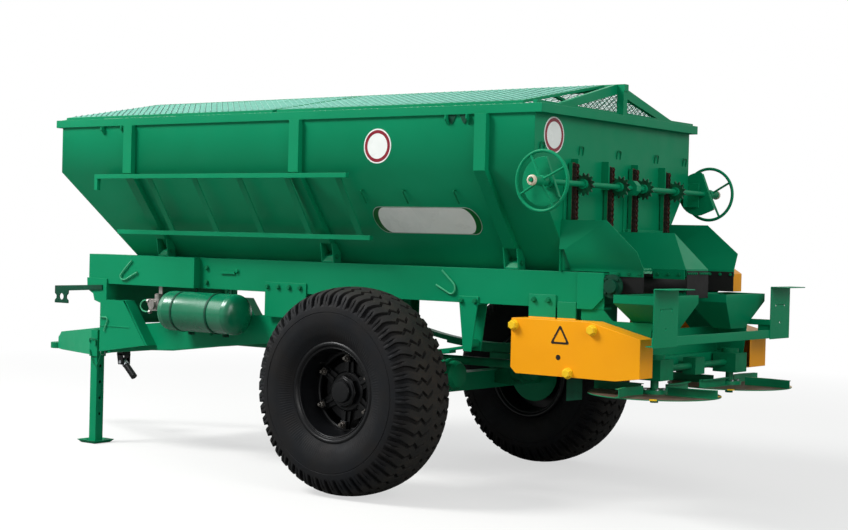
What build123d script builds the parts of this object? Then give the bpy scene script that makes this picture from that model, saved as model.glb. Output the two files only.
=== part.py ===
from build123d import *
from math import atan2, cos, degrees, pi, radians, sin, sqrt
import os

os.makedirs("parts", exist_ok=True)

# Trailed hopper spreader with two spinning discs.  Millimetres, +X towards the hitch, +Y to the
# left side, +Z up.  Stations along X are first counted from the axle; place() then shifts every
# piece so that the origin lies on the floor, midway between the hitch eye and the spreading discs.

# ---- driving dimensions: running gear ----
TYRE_R = 535            # to the flat tops of the lugs
TYRE_W = 418
TYRE_Y = 895            # half the track
LUG_COUNT = 30
LUG_DEPTH = 25
LUG_LENGTH = 52         # round the tyre
LUG_SWEEP = 34          # how far the lug's zigzag runs round the tyre
RIM_R = 229             # bead seat
RIM_LIP = 21            # lip above the bead seat
RIM_W = 330
RIM_T = 9
DISC_OFFSET = 40        # wheel disc, outboard of the rim's centre
HUB_R = 88
DRUM_R = 150
DRUM_BACK = -90         # inner end of the brake drum
SPINDLE_R = 35
BEARING_GAP = 0.05      # radial clearance of a running fit
AXLE_SQ = 100           # square axle beam

# ---- driving dimensions: frame ----
RAIL_Y = 515            # outer face of the side rails
RAIL_TOP = 1180
RAIL_H = 180
RAIL_WEB = 7
RAIL_FLANGE = 75
RAIL_FLANGE_T = 10
RAIL_FRONT = 2430
RAIL_REAR = -1250
RAIL_LUG_L = 150        # plate lapped over each rail's rear end
RAIL_LUG_T = 10
BOX_REAR = 1510         # channel lapped over the front of each rail
BOX_D = 50
BOX_T = 6
CROSS_H = 44
CROSS_W = 80
CROSS_STATIONS = (1850, 1250, 420, -180, -950)
FRONT_CROSS_W = 60
BULKHEAD_LOW = 750      # underside of the plate between the uprights
BULKHEAD_T = 8

# ---- driving dimensions: drawbar ----
BEAM_H = 165            # lower side beams
BEAM_WEB = 8
BEAM_FLANGE = 55
BEAM_REAR = 800
BEAM_Y = 490            # outer face
BEAM_FRONT = 2310
BEAM_FRONT_Z = 568      # underside at the front end
BEAM_RISE = 0.1031      # rise of the underside per unit towards the rear
RISER_T = 10
TONGUE_Y = 480          # outer face of the tongue plates at their rear ends
TONGUE_T = 10
TONGUE_FRONT = 3300
TONGUE_FRONT_Y = 60
TONGUE_TIP_H = 135
TONGUE_TIP_Z = 500
TONGUE_BEND = (2617, 527)    # lowest corner of the tongue plates' underside
EYE_X = 3370
EYE_R = 60
EYE_T = 40
EYE_BORE_R = 25
TIE_W = 70
TIE_H = 110

# ---- driving dimensions: parking jack ----
JACK_X = 2430
JACK_Y = 482
LEG_SQ = 60
LEG_WALL = 5
LEG_GAP = 0.3
LEG_TOP = 705
LEG_HOLE_R = 9
LEG_HOLE_PITCH = 100
SLEEVE_WALL = 6
SLEEVE_LOW = 540
SLEEVE_TOP = 640
FOOT_SQ = 165
FOOT_T = 6
FOOT_RIM = 14

# ---- driving dimensions: hopper ----
WALL_FRONT = 2445
WALL_REAR = -1000
WALL_Y = 785
WALL_T = 4
WALL_TOP = 1985
BEND_Z = 1675
FLOOR_Y = 413           # half width where the slopes meet the frame
FLOOR_FRONT = 2165
SKIRT_H = 36            # upright edge below the slopes, beside the conveyor
RIM_H = 45
RIM_PLATE = 5
RIM_OVER_Y = 12
RIM_OVER_X = 46
RIM_INSIDE = 20
RIB_STATIONS = (1830, 524, -700)
RIB_W = 70
RIB_D = 32
RIB_T = 5
RIB_END_Z = 1285
GUSSET_STATIONS = (1893, 2066, -482, -611)
GUSSET_D = 28
GUSSET_T = 8
FOOT_BRACKET_W = 90
FOOT_BRACKET_T = 8
RACK_FRONT = 2080
RACK_REAR = 130
RACK_SQ = 26
RACK_UPPER_Z = 1645
RACK_LOWER_Z = 1322
SLAT_STATIONS = (1630, 1266, 916, 560, 200)
SLAT_W = 40
SLAT_T = 6

# ---- driving dimensions: gable cover ----
RIDGE_RISE = 160        # ridge above the rim
RIDGE_W = 40
RIDGE_H = 37
GABLE_BAR = 30           # depth of the arches' bars
GABLE_Y = 630            # feet of the steeper rear arch
GABLE_T = 25
REAR_BAR = 48
LID_INSET = 75           # lids end in front of the rear wall
POST_SQ = 40
EAVE_Y = 780
COVER_FRONT = 2400
COVER_SPLIT = 700
COVER_BAR = 14
COVER_BAR_W = 24
COVER_SEAT = 2
HINGE_Y = 31            # cover hinge rods, each side of the ridge bar
HINGE_DROP = 10
HINGE_R = 5
KNUCKLE_SQ = 14
KNUCKLE_L = 60
COVER_GAP = 6
COVER_BARS = 5

# ---- driving dimensions: conveyor and gates ----
ROLLER_R = 36
BELT_T = 8
BELT_TOP = 1160
BELT_Y = 390
BELT_FRONT = 2090
BELT_REAR = -1190
SLAT_PITCH = 400
BELT_SLAT_H = 12
BELT_SLAT_L = 25
GATE_LOW = 1197
GATE_H = 203
GATE_T = 6
GATE_GAP = 0.5
GATE_IN = 75            # inner and outer edges of a gate
GATE_OUT = 510
GATE_TRAVEL = 190
WINDOW_IN = 90
WINDOW_OUT = 395
WINDOW_TOP = 1380
GUIDE_TOP = 1640
GUIDE_LIP = 12
CHAIN_PITCH = 25.4
ROLLER_D = 15.88
CHAIN_PLATE_H = 23
CHAIN_PLATE_T = 3
CHAIN_INNER_W = 15.9
TEETH = 13
TOOTH_W = 14
RACK_Y = (125, 470)
RACK_PINS = 14
RACK_TOP = 1720
SHAFT_X = -1095
SHAFT_Z = 1612
SHAFT_R = 15
WHEEL_Y = 855           # handwheel plane
WHEEL_R = 152
WHEEL_ROD = 9
WHEEL_FLATS = 40
SHAFT_END = 955
BRACKET_Y = 778
BRACKET_T = 8
BRACKET_R = 95

# ---- driving dimensions: chute and spreading gear ----
CHUTE_T = 4
CHUTE_TOP = 1435
CHUTE_REAR = 1445
CHEEK_Y = 530           # cheeks' outer faces at the top, at the fold and at the foot
CHEEK_FOLD = (540, 1286)
CHEEK_FOOT = (485, 1204)
DIVIDER_TOP = 1385
DIVIDER_BASE = 1203
DIVIDER_Y = 120
DIVIDER_RIDGE_REAR = 1346
DIVIDER_REAR = 1480
DIVIDER_FRONT = 1012
SKIRT_LOW = 1165
FLAP_T = 5
FLAP_LOW = 1060
FLAP_GAP = 6            # side flaps above the funnels
FUNNEL_TOP = 1080
FUNNEL_LOW = 900
FUNNEL_T = 4
MOUTH_REAR = 1570       # funnel mouths, behind the axle
MOUTH_FRONT = 1350
MOUTH_IN = 150          # and sideways from the middle
MOUTH_OUT = 600
SPOUT_REAR = 1530
SPOUT_FRONT = 1430
SPOUT_Y = 370           # the spouts lie inboard of the discs' centres
SPOUT_HALF = 80
DISC_X = -1475
DISC_Y = 400
DISC_R = 320
VANE_REACH = 338        # the vanes' tips stand past the disc's edge
DISC_Z = 600
DISC_T = 5
VANE_COUNT = 4
VANE_H = 42
VANE_T = 4
VANE_LIP = 22
SPINDLE_SHAFT_R = 20
GEARBOX_LOW = 672
GEARBOX_H = 100
GEARBOX_L = 130
SUBFRAME_Y = 500
SUBFRAME_T = 8
ARM_TOP = 948           # arms that carry the lamp bracket
BEARER_W = 50
BEARER_LOW = 690
BEARER_H = 80
BEARER_REAR = -1395
CROSS_TOP = 900         # top of the plate in front of the bearer
GUARD_PLATE_T = 12
GUARD_D = 123
GUARD_RIGHT_D = 190     # the right guard covers the drive's second chain too
GUARD_SHEET = 3
LAMP_X = -1645
LAMP_T = 5
LAMP_Y = 740
LAMP_W = 235
LAMP_LOW = 845
LAMP_TOP = 1120
LAMP_FLANGE = 90
LAMP_BAR_H = 45
LAMP_HOLE_R = 6
LAMP_HOLE_PITCH = 105

# ---- driving dimensions: springs and air tank ----
SPRING_Y = 475
SPRING_W = 60
LEAF_T = 14
LEAF_COUNT = 4
SPRING_FRONT = 740
SPRING_REAR = -445
SPRING_MID = 60
SPRING_R = 2350         # underside of the main leaf
SPRING_LOW = 715
EYE_PIN_R = 14
EYE_WALL = 9
TANK_X = 1366
TANK_Y = 618
TANK_Z = 865
TANK_R = 116
TANK_L = 630
TANK_DOME = 60
STRAP_T = 3
VALVE_X = 1808
VALVE_L = 82
STRAP_W = 32
STRAP_STATIONS = (1527, 1246)

# ---- worked out from the driving dimensions ----
RAIL_LOW = RAIL_TOP - RAIL_H
WEB_IN = RAIL_Y - RAIL_WEB
SHIFT_X = -(EYE_X + EYE_R + DISC_X - VANE_REACH) / 2
SLOPE = (WALL_Y - FLOOR_Y) / (BEND_Z - RAIL_TOP)
PITCH_R = CHAIN_PITCH * TEETH / (2 * pi)
RACK_X = SHAFT_X + PITCH_R
GATE_FACE = WALL_REAR - GATE_GAP - GATE_T
CHAIN_W = CHAIN_INNER_W + 2 * CHAIN_PLATE_T
RACK_BAR_W = CHAIN_W + 6
RIM_TOP = WALL_TOP + RIM_PLATE
RIDGE_Z = RIM_TOP + RIDGE_RISE
COVER_SLOPE = (RIDGE_Z - RIM_TOP - COVER_BAR - COVER_SEAT) / (EAVE_Y - RIDGE_W / 2)
LUG_FACE = sqrt(TYRE_R**2 - (LUG_LENGTH / 2 + LUG_SWEEP) ** 2)


def block(x0, x1, y0, y1, z0, z1):
    """A box between two corners."""
    corner = (min(x0, x1), min(y0, y1), min(z0, z1))
    size = (abs(x1 - x0), abs(y1 - y0), abs(z1 - z0))
    return Pos(*corner) * Box(*size, align=(Align.MIN, Align.MIN, Align.MIN))


def side_plate(points, y0, y1):
    """An outline of (x, z) points given a thickness from y0 to y1."""
    face = Face(Wire.make_polygon([(x, y0, z) for x, z in points], close=True))
    return extrude(face, amount=abs(y1 - y0), dir=(0, 1 if y1 > y0 else -1, 0))


def cross_plate(points, x0, x1):
    """An outline of (y, z) points given a thickness from x0 to x1."""
    face = Face(Wire.make_polygon([(x0, y, z) for y, z in points], close=True))
    return extrude(face, amount=abs(x1 - x0), dir=(1 if x1 > x0 else -1, 0, 0))


def flat_plate(points, z0, z1):
    """An outline of (x, y) points given a thickness from z0 to z1."""
    face = Face(Wire.make_polygon([(x, y, z0) for x, y in points], close=True))
    return extrude(face, amount=z1 - z0, dir=(0, 0, 1))


def rod_y(x, z, radius, y0, y1):
    """A round bar along Y."""
    return Pos(x, (y0 + y1) / 2, z) * Rot(90, 0, 0) * Cylinder(radius, abs(y1 - y0))


def rod_x(y, z, radius, x0, x1):
    """A round bar along X."""
    return Pos((x0 + x1) / 2, y, z) * Rot(0, 90, 0) * Cylinder(radius, abs(x1 - x0))


def rod_z(x, y, radius, z0, z1):
    """A round bar along Z."""
    return Pos(x, y, (z0 + z1) / 2) * Cylinder(radius, abs(z1 - z0))


def tapered(low, low_z, top, top_z):
    """A flat-sided solid between two (x0, x1, y0, y1) rectangles at two heights."""
    rings = []
    for (x0, x1, y0, y1), z in ((low, low_z), (top, top_z)):
        rings.append([(x0, y0, z), (x1, y0, z), (x1, y1, z), (x0, y1, z)])
    outlines = list(rings)
    for index in range(4):
        after = (index + 1) % 4
        outlines.append([rings[0][index], rings[0][after], rings[1][after], rings[1][index]])
    return Solid(Shell([Face(Wire.make_polygon(outline, close=True)) for outline in outlines]))


def right_of(shape):
    """The mirror image on the right side."""
    return mirror(shape, about=Plane.XZ)


def both(shape):
    """A piece together with its mirror image."""
    return shape + right_of(shape)


def slope_y(z):
    """Outer half width of the hopper at a height."""
    return WALL_Y if z >= BEND_Z else WALL_Y - (BEND_Z - z) * SLOPE


def cover_z(y):
    """Underside of the lids over a point across the hopper."""
    return RIDGE_Z - COVER_BAR - (abs(y) - RIDGE_W / 2) * COVER_SLOPE


def beam_z(x):
    """Underside of the lower side beams."""
    return BEAM_FRONT_Z + (BEAM_FRONT - x) * BEAM_RISE


# ---- running gear ----
def make_tyre():
    """Carcass turned about the wheel's axis, with zigzag lugs, bevelled at the shoulders, on its tread."""
    crown = TYRE_R - LUG_DEPTH
    bead, lip = RIM_R + 0.3, RIM_R + RIM_LIP + 4
    half, seat = TYRE_W / 2, RIM_W / 2 - 14
    side = [(bead, seat), (lip, seat), (lip, half - 14), (lip + 34, half), (crown, half)]
    outline = side + [(r, -y) for r, y in reversed(side)]
    carcass = revolve(make_face(Polyline(*outline, close=True)), axis=Axis.Y)
    end, quarter = half - 3, half / 2
    front = [(-end, 0), (-quarter, LUG_SWEEP), (quarter, -LUG_SWEEP), (end, 0)]
    back = [(y, x + LUG_LENGTH) for y, x in reversed(front)]
    lug = flat_plate([(x - LUG_LENGTH / 2, y) for y, x in front + back], crown - 10, LUG_FACE)
    bevel = [(-end, 0), (-end, crown - 4), (28 - end, LUG_FACE), (end - 28, LUG_FACE), (end, crown - 4), (end, 0)]
    lug &= cross_plate(bevel, -LUG_LENGTH - LUG_SWEEP, LUG_LENGTH + LUG_SWEEP)
    step = 360 / LUG_COUNT
    corner = degrees(atan2(LUG_LENGTH / 2 + LUG_SWEEP, LUG_FACE))
    lugs = [Rot(0, 180 + corner + index * step, 0) * lug for index in range(LUG_COUNT)]
    return Pos(0, TYRE_Y, TYRE_R) * (carcass + lugs)


def make_rim():
    """Rim barrel with its two flanges, and the flat wheel disc with its raised centre."""
    half, lip = RIM_W / 2, RIM_R + RIM_LIP
    band = [(lip, half), (lip, half - 8), (RIM_R, half - 8)]
    band += [(r, -y) for r, y in reversed(band)]
    bore = RIM_R - RIM_T
    rim = revolve(make_face(Polyline(*band, (bore, -half), (bore, half), close=True)), axis=Axis.Y)
    inner = DISC_OFFSET - RIM_T
    disc = rod_y(0, 0, bore + 1, inner, DISC_OFFSET) - rod_y(0, 0, HUB_R - 14, inner - 1, DISC_OFFSET + 1)
    return Pos(0, TYRE_Y, TYRE_R) * (rim + disc)


def make_hub():
    """Hub barrel and nose, bored for the axle spindle, with the drum that turns behind the disc."""
    face = DISC_OFFSET - RIM_T - 0.3
    bore = SPINDLE_R + BEARING_GAP
    outline = [
        (bore, DRUM_BACK), (DRUM_R, DRUM_BACK), (DRUM_R, face), (HUB_R - 14.3, face), (HUB_R - 14.3, DISC_OFFSET + 45),
        (0, DISC_OFFSET + 45), (0, DISC_OFFSET), (bore, DISC_OFFSET),
    ]
    return Pos(0, TYRE_Y, TYRE_R) * revolve(make_face(Polyline(*outline, close=True)), axis=Axis.Y)


def make_axle():
    """Square beam with round spindles, the brakes' backing discs and the spring seats."""
    beam_y = TYRE_Y + DRUM_BACK - 16
    beam = block(-AXLE_SQ / 2, AXLE_SQ / 2, -beam_y, beam_y, TYRE_R - AXLE_SQ / 2, TYRE_R + AXLE_SQ / 2)
    backing = rod_y(0, TYRE_R, DRUM_R + 14, beam_y, beam_y + 8)
    spindle = rod_y(0, TYRE_R, SPINDLE_R, beam_y, TYRE_Y + DISC_OFFSET - 2)
    seat_top = SPRING_LOW - (LEAF_COUNT - 1) * LEAF_T - 0.3
    seat = block(-75, 75, SPRING_Y - 45, SPRING_Y + 45, TYRE_R + AXLE_SQ / 2, seat_top)
    return beam + both(backing + spindle) + both(seat)


# ---- frame ----
def make_rail():
    """Left side rail: a channel open inwards, with the plate lapped over its rear end."""
    rail = block(RAIL_REAR, RAIL_FRONT, RAIL_Y - RAIL_FLANGE, RAIL_Y, RAIL_LOW, RAIL_TOP)
    inner = block(
        RAIL_REAR - 1, RAIL_FRONT + 1, RAIL_Y - RAIL_FLANGE - 1, WEB_IN,
        RAIL_LOW + RAIL_FLANGE_T, RAIL_TOP - RAIL_FLANGE_T,
    )
    rear = RAIL_REAR
    chamfer = 60
    lug = [(rear + RAIL_LUG_L, RAIL_LOW), (rear + RAIL_LUG_L, RAIL_TOP), (rear, RAIL_TOP)]
    lug += [(rear, RAIL_LOW + chamfer), (rear + chamfer, RAIL_LOW)]
    return rail - inner + side_plate(lug, RAIL_Y, RAIL_Y + RAIL_LUG_T)


def make_front_box():
    """Folded channel lapped over the front of the left rail, closed at both ends."""
    outer = block(BOX_REAR, RAIL_FRONT, RAIL_Y, RAIL_Y + BOX_D, RAIL_LOW, RAIL_TOP)
    inner = block(
        BOX_REAR + BOX_T, RAIL_FRONT - BOX_T, RAIL_Y - 1, RAIL_Y + BOX_D - BOX_T,
        RAIL_LOW + BOX_T, RAIL_TOP - BOX_T,
    )
    return outer - inner


def make_crossmembers():
    """Cross channels on the rails' lower flanges, the deep front one and the plate between the uprights."""
    low = RAIL_LOW + RAIL_FLANGE_T
    parts = []
    for x in CROSS_STATIONS:
        member = block(x - CROSS_W / 2, x + CROSS_W / 2, -WEB_IN, WEB_IN, low, low + CROSS_H)
        hollow = block(x - CROSS_W / 2 + 6, x + CROSS_W / 2 - 6, -WEB_IN - 1, WEB_IN + 1, low - 1, low + CROSS_H - 6)
        parts.append(member - hollow)
    front = RAIL_FRONT - 20
    parts.append(
        block(front - FRONT_CROSS_W, front, -WEB_IN, WEB_IN, low, RAIL_TOP - RAIL_FLANGE_T)
        - block(front - FRONT_CROSS_W - 1, front - 8, -WEB_IN - 1, WEB_IN + 1, low + 8, RAIL_TOP - RAIL_FLANGE_T - 8)
    )
    rear = BEAM_FRONT - 10
    bulkhead = block(rear - BULKHEAD_T, rear, -BEAM_Y, BEAM_Y, BULKHEAD_LOW, RAIL_LOW)
    bulkhead += block(rear - 30, rear, -BEAM_Y, BEAM_Y, BULKHEAD_LOW, BULKHEAD_LOW + 6)
    return Compound(children=parts + [bulkhead])


def make_spring_beam():
    """Crossbeam under the rails that joins the lower side beams to them."""
    x0, x1 = BEAM_REAR + 40, BEAM_REAR + 100
    low = beam_z(x0) + BEAM_H
    return block(x0, x1, -RAIL_Y + 1, RAIL_Y - 1, low, RAIL_LOW) - block(
        x0 + 6, x1 - 6, -RAIL_Y, RAIL_Y, low + 6, RAIL_LOW - 6
    )


# ---- drawbar ----
def make_side_beam():
    """Left lower beam: a channel, open inwards, that rises towards the rear."""
    ends = [(BEAM_REAR, beam_z(BEAM_REAR)), (BEAM_FRONT, beam_z(BEAM_FRONT))]
    side = ends + [(x, z + BEAM_H) for x, z in reversed(ends)]
    inside = [(BEAM_REAR - 1, ends[0][1] + BEAM_WEB), (BEAM_FRONT + 1, ends[1][1] + BEAM_WEB)]
    inside += [(x, z + BEAM_H - 2 * BEAM_WEB) for x, z in reversed(inside)]
    beam = side_plate(side, BEAM_Y - BEAM_FLANGE, BEAM_Y)
    return beam - side_plate(inside, BEAM_Y - BEAM_FLANGE - 1, BEAM_Y - BEAM_WEB)


def tongue_y(x):
    """Outer face of the left tongue plate."""
    share = (x - BEAM_FRONT) / (TONGUE_FRONT - BEAM_FRONT)
    return TONGUE_Y + (TONGUE_FRONT_Y - TONGUE_Y) * share


def make_tongue():
    """The two plates that close in from the side beams to the hitch, and the tie across their rear."""
    tip = TONGUE_FRONT + 50
    nose = TONGUE_FRONT + 22
    plan = [
        (BEAM_FRONT, TONGUE_Y), (TONGUE_FRONT, TONGUE_FRONT_Y), (tip, TONGUE_FRONT_Y - 15),
        (tip, TONGUE_FRONT_Y - 15 - TONGUE_T), (TONGUE_FRONT, TONGUE_FRONT_Y - TONGUE_T),
        (BEAM_FRONT, TONGUE_Y - TONGUE_T),
    ]
    low = beam_z(BEAM_FRONT)
    side = [
        (BEAM_FRONT, low), TONGUE_BEND, (TONGUE_FRONT - 40, TONGUE_TIP_Z + 14), (nose, TONGUE_TIP_Z + 17),
        (nose, TONGUE_TIP_Z + 95), (TONGUE_FRONT - 30, TONGUE_TIP_Z + TONGUE_TIP_H), (BEAM_FRONT, low + BEAM_H),
    ]
    plate = flat_plate(plan, 0, RAIL_TOP) & side_plate(side, -10, TONGUE_Y + 10)
    tie_low = low + 30
    ends = [(x, tongue_y(x) - TONGUE_T) for x in (BEAM_FRONT, BEAM_FRONT + TIE_W)]
    tie = flat_plate(ends + [(x, -y) for x, y in reversed(ends)], tie_low, tie_low + TIE_H)
    tie -= block(
        BEAM_FRONT + 6, BEAM_FRONT + TIE_W - 6, -TONGUE_Y, TONGUE_Y, tie_low + 6, tie_low + TIE_H - 6
    )
    return both(plate) + tie


def make_riser():
    """Left upright plate from the front box down to the side beam, with its slanted closing plate."""
    y0 = RAIL_Y + BOX_D
    top = RAIL_LOW + 33
    front = RAIL_FRONT + 6
    neck = BEAM_FRONT
    shelf = 902
    low = beam_z(BEAM_FRONT) + 12
    outline = [
        (front, top), (front - 180, top - 4), (front - 180, shelf), (2107, shelf), (1905, 640),
        (neck, low), (neck, 880), (neck + 55, 895), (neck + 68, 935), (front - 5, 962),
    ]
    plate = side_plate(outline, y0, y0 + RISER_T)
    closing = side_plate([(2107, shelf), (2095, shelf), (1893, 640), (1905, 640)], BEAM_Y, y0)
    shelf_plate = block(2107, front - 180, BEAM_Y, y0, shelf - 8, shelf)
    stay = block(front - 180, front - 168, BEAM_Y, y0, shelf - 8, RAIL_LOW)
    nose = block(neck - 10, neck, BEAM_Y, y0, low, 880)
    step = block(2045, neck - 4, BEAM_Y, y0 + RISER_T + 3, 738, 744)
    return plate + closing + shelf_plate + stay + nose + step


def make_hitch_eye():
    """Flat towing eye held between the tongue plates, with a vertical bore."""
    mid = TONGUE_TIP_Z + 35
    tip = TONGUE_FRONT_Y - 15 - TONGUE_T - 0.2
    seat = [(x, tongue_y(x) - TONGUE_T - 0.2) for x in (TONGUE_FRONT - 90, TONGUE_FRONT)]
    seat += [(TONGUE_FRONT + 50, tip), (EYE_X, tip)]
    tail = flat_plate(seat + [(x, -y) for x, y in reversed(seat)], mid - EYE_T / 2, mid + EYE_T / 2)
    ring = rod_z(EYE_X, 0, EYE_R, mid - EYE_T / 2, mid + EYE_T / 2)
    return tail + ring - rod_z(EYE_X, 0, EYE_BORE_R, 0, RAIL_TOP)


def make_jack_sleeve():
    """Square guide for the parking leg, with the two plates that weld it to the left tongue plate."""
    half = LEG_SQ / 2 + LEG_GAP + SLEEVE_WALL
    hole = LEG_SQ / 2 + LEG_GAP
    sleeve = block(JACK_X - half, JACK_X + half, JACK_Y - half, JACK_Y + half, SLEEVE_LOW, SLEEVE_TOP)
    for low in (SLEEVE_LOW + 25, SLEEVE_TOP - 20):
        x0, x1 = JACK_X - half, JACK_X + half
        ear = [(x0, JACK_Y), (x1, JACK_Y), (x1, tongue_y(x1) + 0.2), (x0, tongue_y(x0) + 0.2)]
        sleeve += flat_plate(ear, low, low + 10)
    return sleeve - block(JACK_X - hole, JACK_X + hole, JACK_Y - hole, JACK_Y + hole, 0, RAIL_TOP)


def make_jack_leg():
    """Square tube leg with cross holes and a dished foot."""
    half = LEG_SQ / 2
    leg = block(JACK_X - half, JACK_X + half, JACK_Y - half, JACK_Y + half, FOOT_T, LEG_TOP)
    inner = half - LEG_WALL
    leg -= block(JACK_X - inner, JACK_X + inner, JACK_Y - inner, JACK_Y + inner, FOOT_T, LEG_TOP + 1)
    for index in range(4):
        z = 180 + index * LEG_HOLE_PITCH
        leg -= rod_x(JACK_Y, z, LEG_HOLE_R, JACK_X - half - 1, JACK_X)
    reach = FOOT_SQ / 2
    foot = tapered(
        (JACK_X - reach + 20, JACK_X + reach - 20, JACK_Y - reach + 20, JACK_Y + reach - 20), 0,
        (JACK_X - reach, JACK_X + reach, JACK_Y - reach, JACK_Y + reach), FOOT_T + FOOT_RIM,
    )
    dish = tapered(
        (JACK_X - reach + 24, JACK_X + reach - 24, JACK_Y - reach + 24, JACK_Y + reach - 24), FOOT_T,
        (JACK_X - reach + 5, JACK_X + reach - 5, JACK_Y - reach + 5, JACK_Y + reach - 5), FOOT_T + FOOT_RIM + 1,
    )
    return leg + (foot - dish)


def make_hose_bracket():
    """Arm in front of the left riser with a drop plate bored for a parked hose coupling."""
    y0 = RAIL_Y + BOX_D + RISER_T
    front = RAIL_FRONT + 300
    outline = [
        (RAIL_FRONT - 140, 992), (front, 972), (front, 925), (front - 16, 912), (front - 16, 895), (front, 882),
        (front, 864), (front - 127, 864), (front - 127, 882), (front - 111, 895), (front - 111, 912),
        (front - 127, 925), (front - 127, 944), (RAIL_FRONT - 140, 962),
    ]
    return side_plate(outline, y0, y0 + 8) - rod_y(front - 63, 905, 20, y0 - 1, y0 + 9)


# ---- springs ----
def leaf_z(x, radius):
    """Height at a station of an arc of the spring pack, all struck about one centre."""
    return SPRING_LOW + SPRING_R - sqrt(radius**2 - (x - SPRING_MID) ** 2)


def make_spring():
    """Left leaf spring: stacked leaves on one curve, the longest with rolled eyes."""
    def arc(radius, x0, x1):
        middle = (x0 + x1) / 2
        return ThreePointArc(*[(x, 0, leaf_z(x, radius)) for x in (x0, middle, x1)])
    pack = []
    for index in range(LEAF_COUNT):
        share = 1 - index / LEAF_COUNT
        x0 = SPRING_MID + (SPRING_REAR - SPRING_MID) * share
        x1 = SPRING_MID + (SPRING_FRONT - SPRING_MID) * share
        low = arc(SPRING_R + index * LEAF_T, x0, x1)
        top = arc(SPRING_R + (index - 1) * LEAF_T, x1, x0)
        edges = [low.edge(), Line(low @ 1, top @ 0).edge(), top.edge(), Line(top @ 1, low @ 0).edge()]
        pack.append(extrude(Face(Wire(edges)), amount=SPRING_W / 2, both=True, dir=(0, 1, 0)))
    shape = pack[0] + pack[1:]
    for x in (SPRING_FRONT, SPRING_REAR):
        half = SPRING_W / 2
        z = leaf_z(x, SPRING_R) + EYE_PIN_R + EYE_WALL - 2
        shape += rod_y(x, z, EYE_PIN_R + EYE_WALL, -half, half)
        shape -= rod_y(x, z, EYE_PIN_R + BEARING_GAP, -half - 1, half + 1)
    return Pos(0, SPRING_Y, 0) * shape


def make_hangers():
    """Left spring hangers: a bracket with a pin at the front eye and another at the rear eye."""
    pin = [(x, leaf_z(x, SPRING_R) + EYE_PIN_R + EYE_WALL - 2) for x in (SPRING_FRONT, SPRING_REAR)]
    front = [
        (670, RAIL_LOW + 58), (670, 850), (700, 790), (790, 790), (845, 860), (968, 860), (980, 872), (980, RAIL_LOW + 58),
    ]
    rear = [(-508, RAIL_LOW + 35), (-470, 750), (-419, 750), (-383, RAIL_LOW + 35)]
    inner_y = SPRING_Y - SPRING_W / 2 - 6
    parts = []
    for (x, z), outline in zip(pin, (front, rear)):
        x0, x1 = min(px for px, _ in outline), min(max(px for px, _ in outline), BEAM_REAR - 5)
        inner = side_plate(outline, inner_y - 8, inner_y) & block(x0, x1, inner_y - 9, inner_y + 1, 0, RAIL_LOW)
        plate = side_plate(outline, RAIL_Y, RAIL_Y + 8) + inner
        plate += block(x0, x1, inner_y - 8, RAIL_Y, RAIL_LOW - 8, RAIL_LOW)
        parts.append(plate + rod_y(x, z, EYE_PIN_R, inner_y, RAIL_Y))
    return Compound(children=parts)


# ---- air brake pieces ----
def make_air_tank():
    """Cylinder with a dished end at each side."""
    straight, end = TANK_L / 2 - TANK_DOME, TANK_L / 2
    side = [(straight, TANK_R), (end, 0.42 * TANK_R)]
    outline = [(-x, r) for x, r in reversed(side)] + side + [(end, 0), (-end, 0)]
    return Pos(TANK_X, TANK_Y, TANK_Z) * revolve(make_face(Polyline(*outline, close=True)), axis=Axis.X)


def make_tank_straps():
    """Two bands round the tank, each with a leg up to the rail and a lug for its bolt."""
    straps = []
    for x in STRAP_STATIONS:
        x0, x1 = x - STRAP_W / 2, x + STRAP_W / 2
        band = rod_x(TANK_Y, TANK_Z, TANK_R + 0.3 + STRAP_T, x0, x1)
        leg = block(x0, x1, RAIL_Y - 10, RAIL_Y + 3, TANK_Z + 40, RAIL_LOW)
        lug = block(x0, x1, TANK_Y - 60, TANK_Y - 48, TANK_Z - TANK_R - 24, TANK_Z - TANK_R + 20)
        strap = band + lug - rod_x(TANK_Y, TANK_Z, TANK_R + 0.3, x0 - 1, x1 + 1)
        straps.append(strap + (leg - rod_x(TANK_Y, TANK_Z, TANK_R + 1, x0 - 1, x1 + 1)))
    return Compound(children=straps)


def make_brake_valve():
    """Cast valve body with its knob, on a strap from the front box."""
    front = VALVE_X + VALVE_L / 2
    body = block(front - VALVE_L, front, RAIL_Y + 15, 600, 855, 925)
    body += rod_z(VALVE_X, 565, 20, 925, 955) + rod_y(VALVE_X, 890, 24, 600, 622) + rod_x(565, 890, 14, front, front + 35)
    return body + block(VALVE_X - 14, VALVE_X + 14, 540, 547, 925, RAIL_LOW)


# ---- drive line ----
def make_drive_gearbox():
    """Central gearbox hung from a crossmember."""
    x = CROSS_STATIONS[-1]
    box = block(x - 105, x + 105, -85, 85, 615, 865)
    hanger = block(x - 40, x + 40, -60, 60, 865, RAIL_LOW + RAIL_FLANGE_T)
    return box + hanger


def make_drive_shafts():
    """Shaft along the machine from the drawbar, the cross shaft and the rear shafts to the discs."""
    x = CROSS_STATIONS[-1]
    front = rod_x(0, 655, 24, x + 105, BEAM_FRONT)
    collar = rod_x(0, 655, 42, BEAM_FRONT - 60, BEAM_FRONT)
    cross = both(rod_y(x, 800, 18, 85, 600))
    rear = rod_x(0, 722, 18, x - 105, DISC_X + 35)
    middle = block(DISC_X - 35, DISC_X + 35, -50, 50, 680, 764)
    link = both(rod_y(DISC_X, 722, 16, 50, DISC_Y - GEARBOX_L / 2))
    return Compound(children=[front + collar, cross, rear + middle + link])


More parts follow.
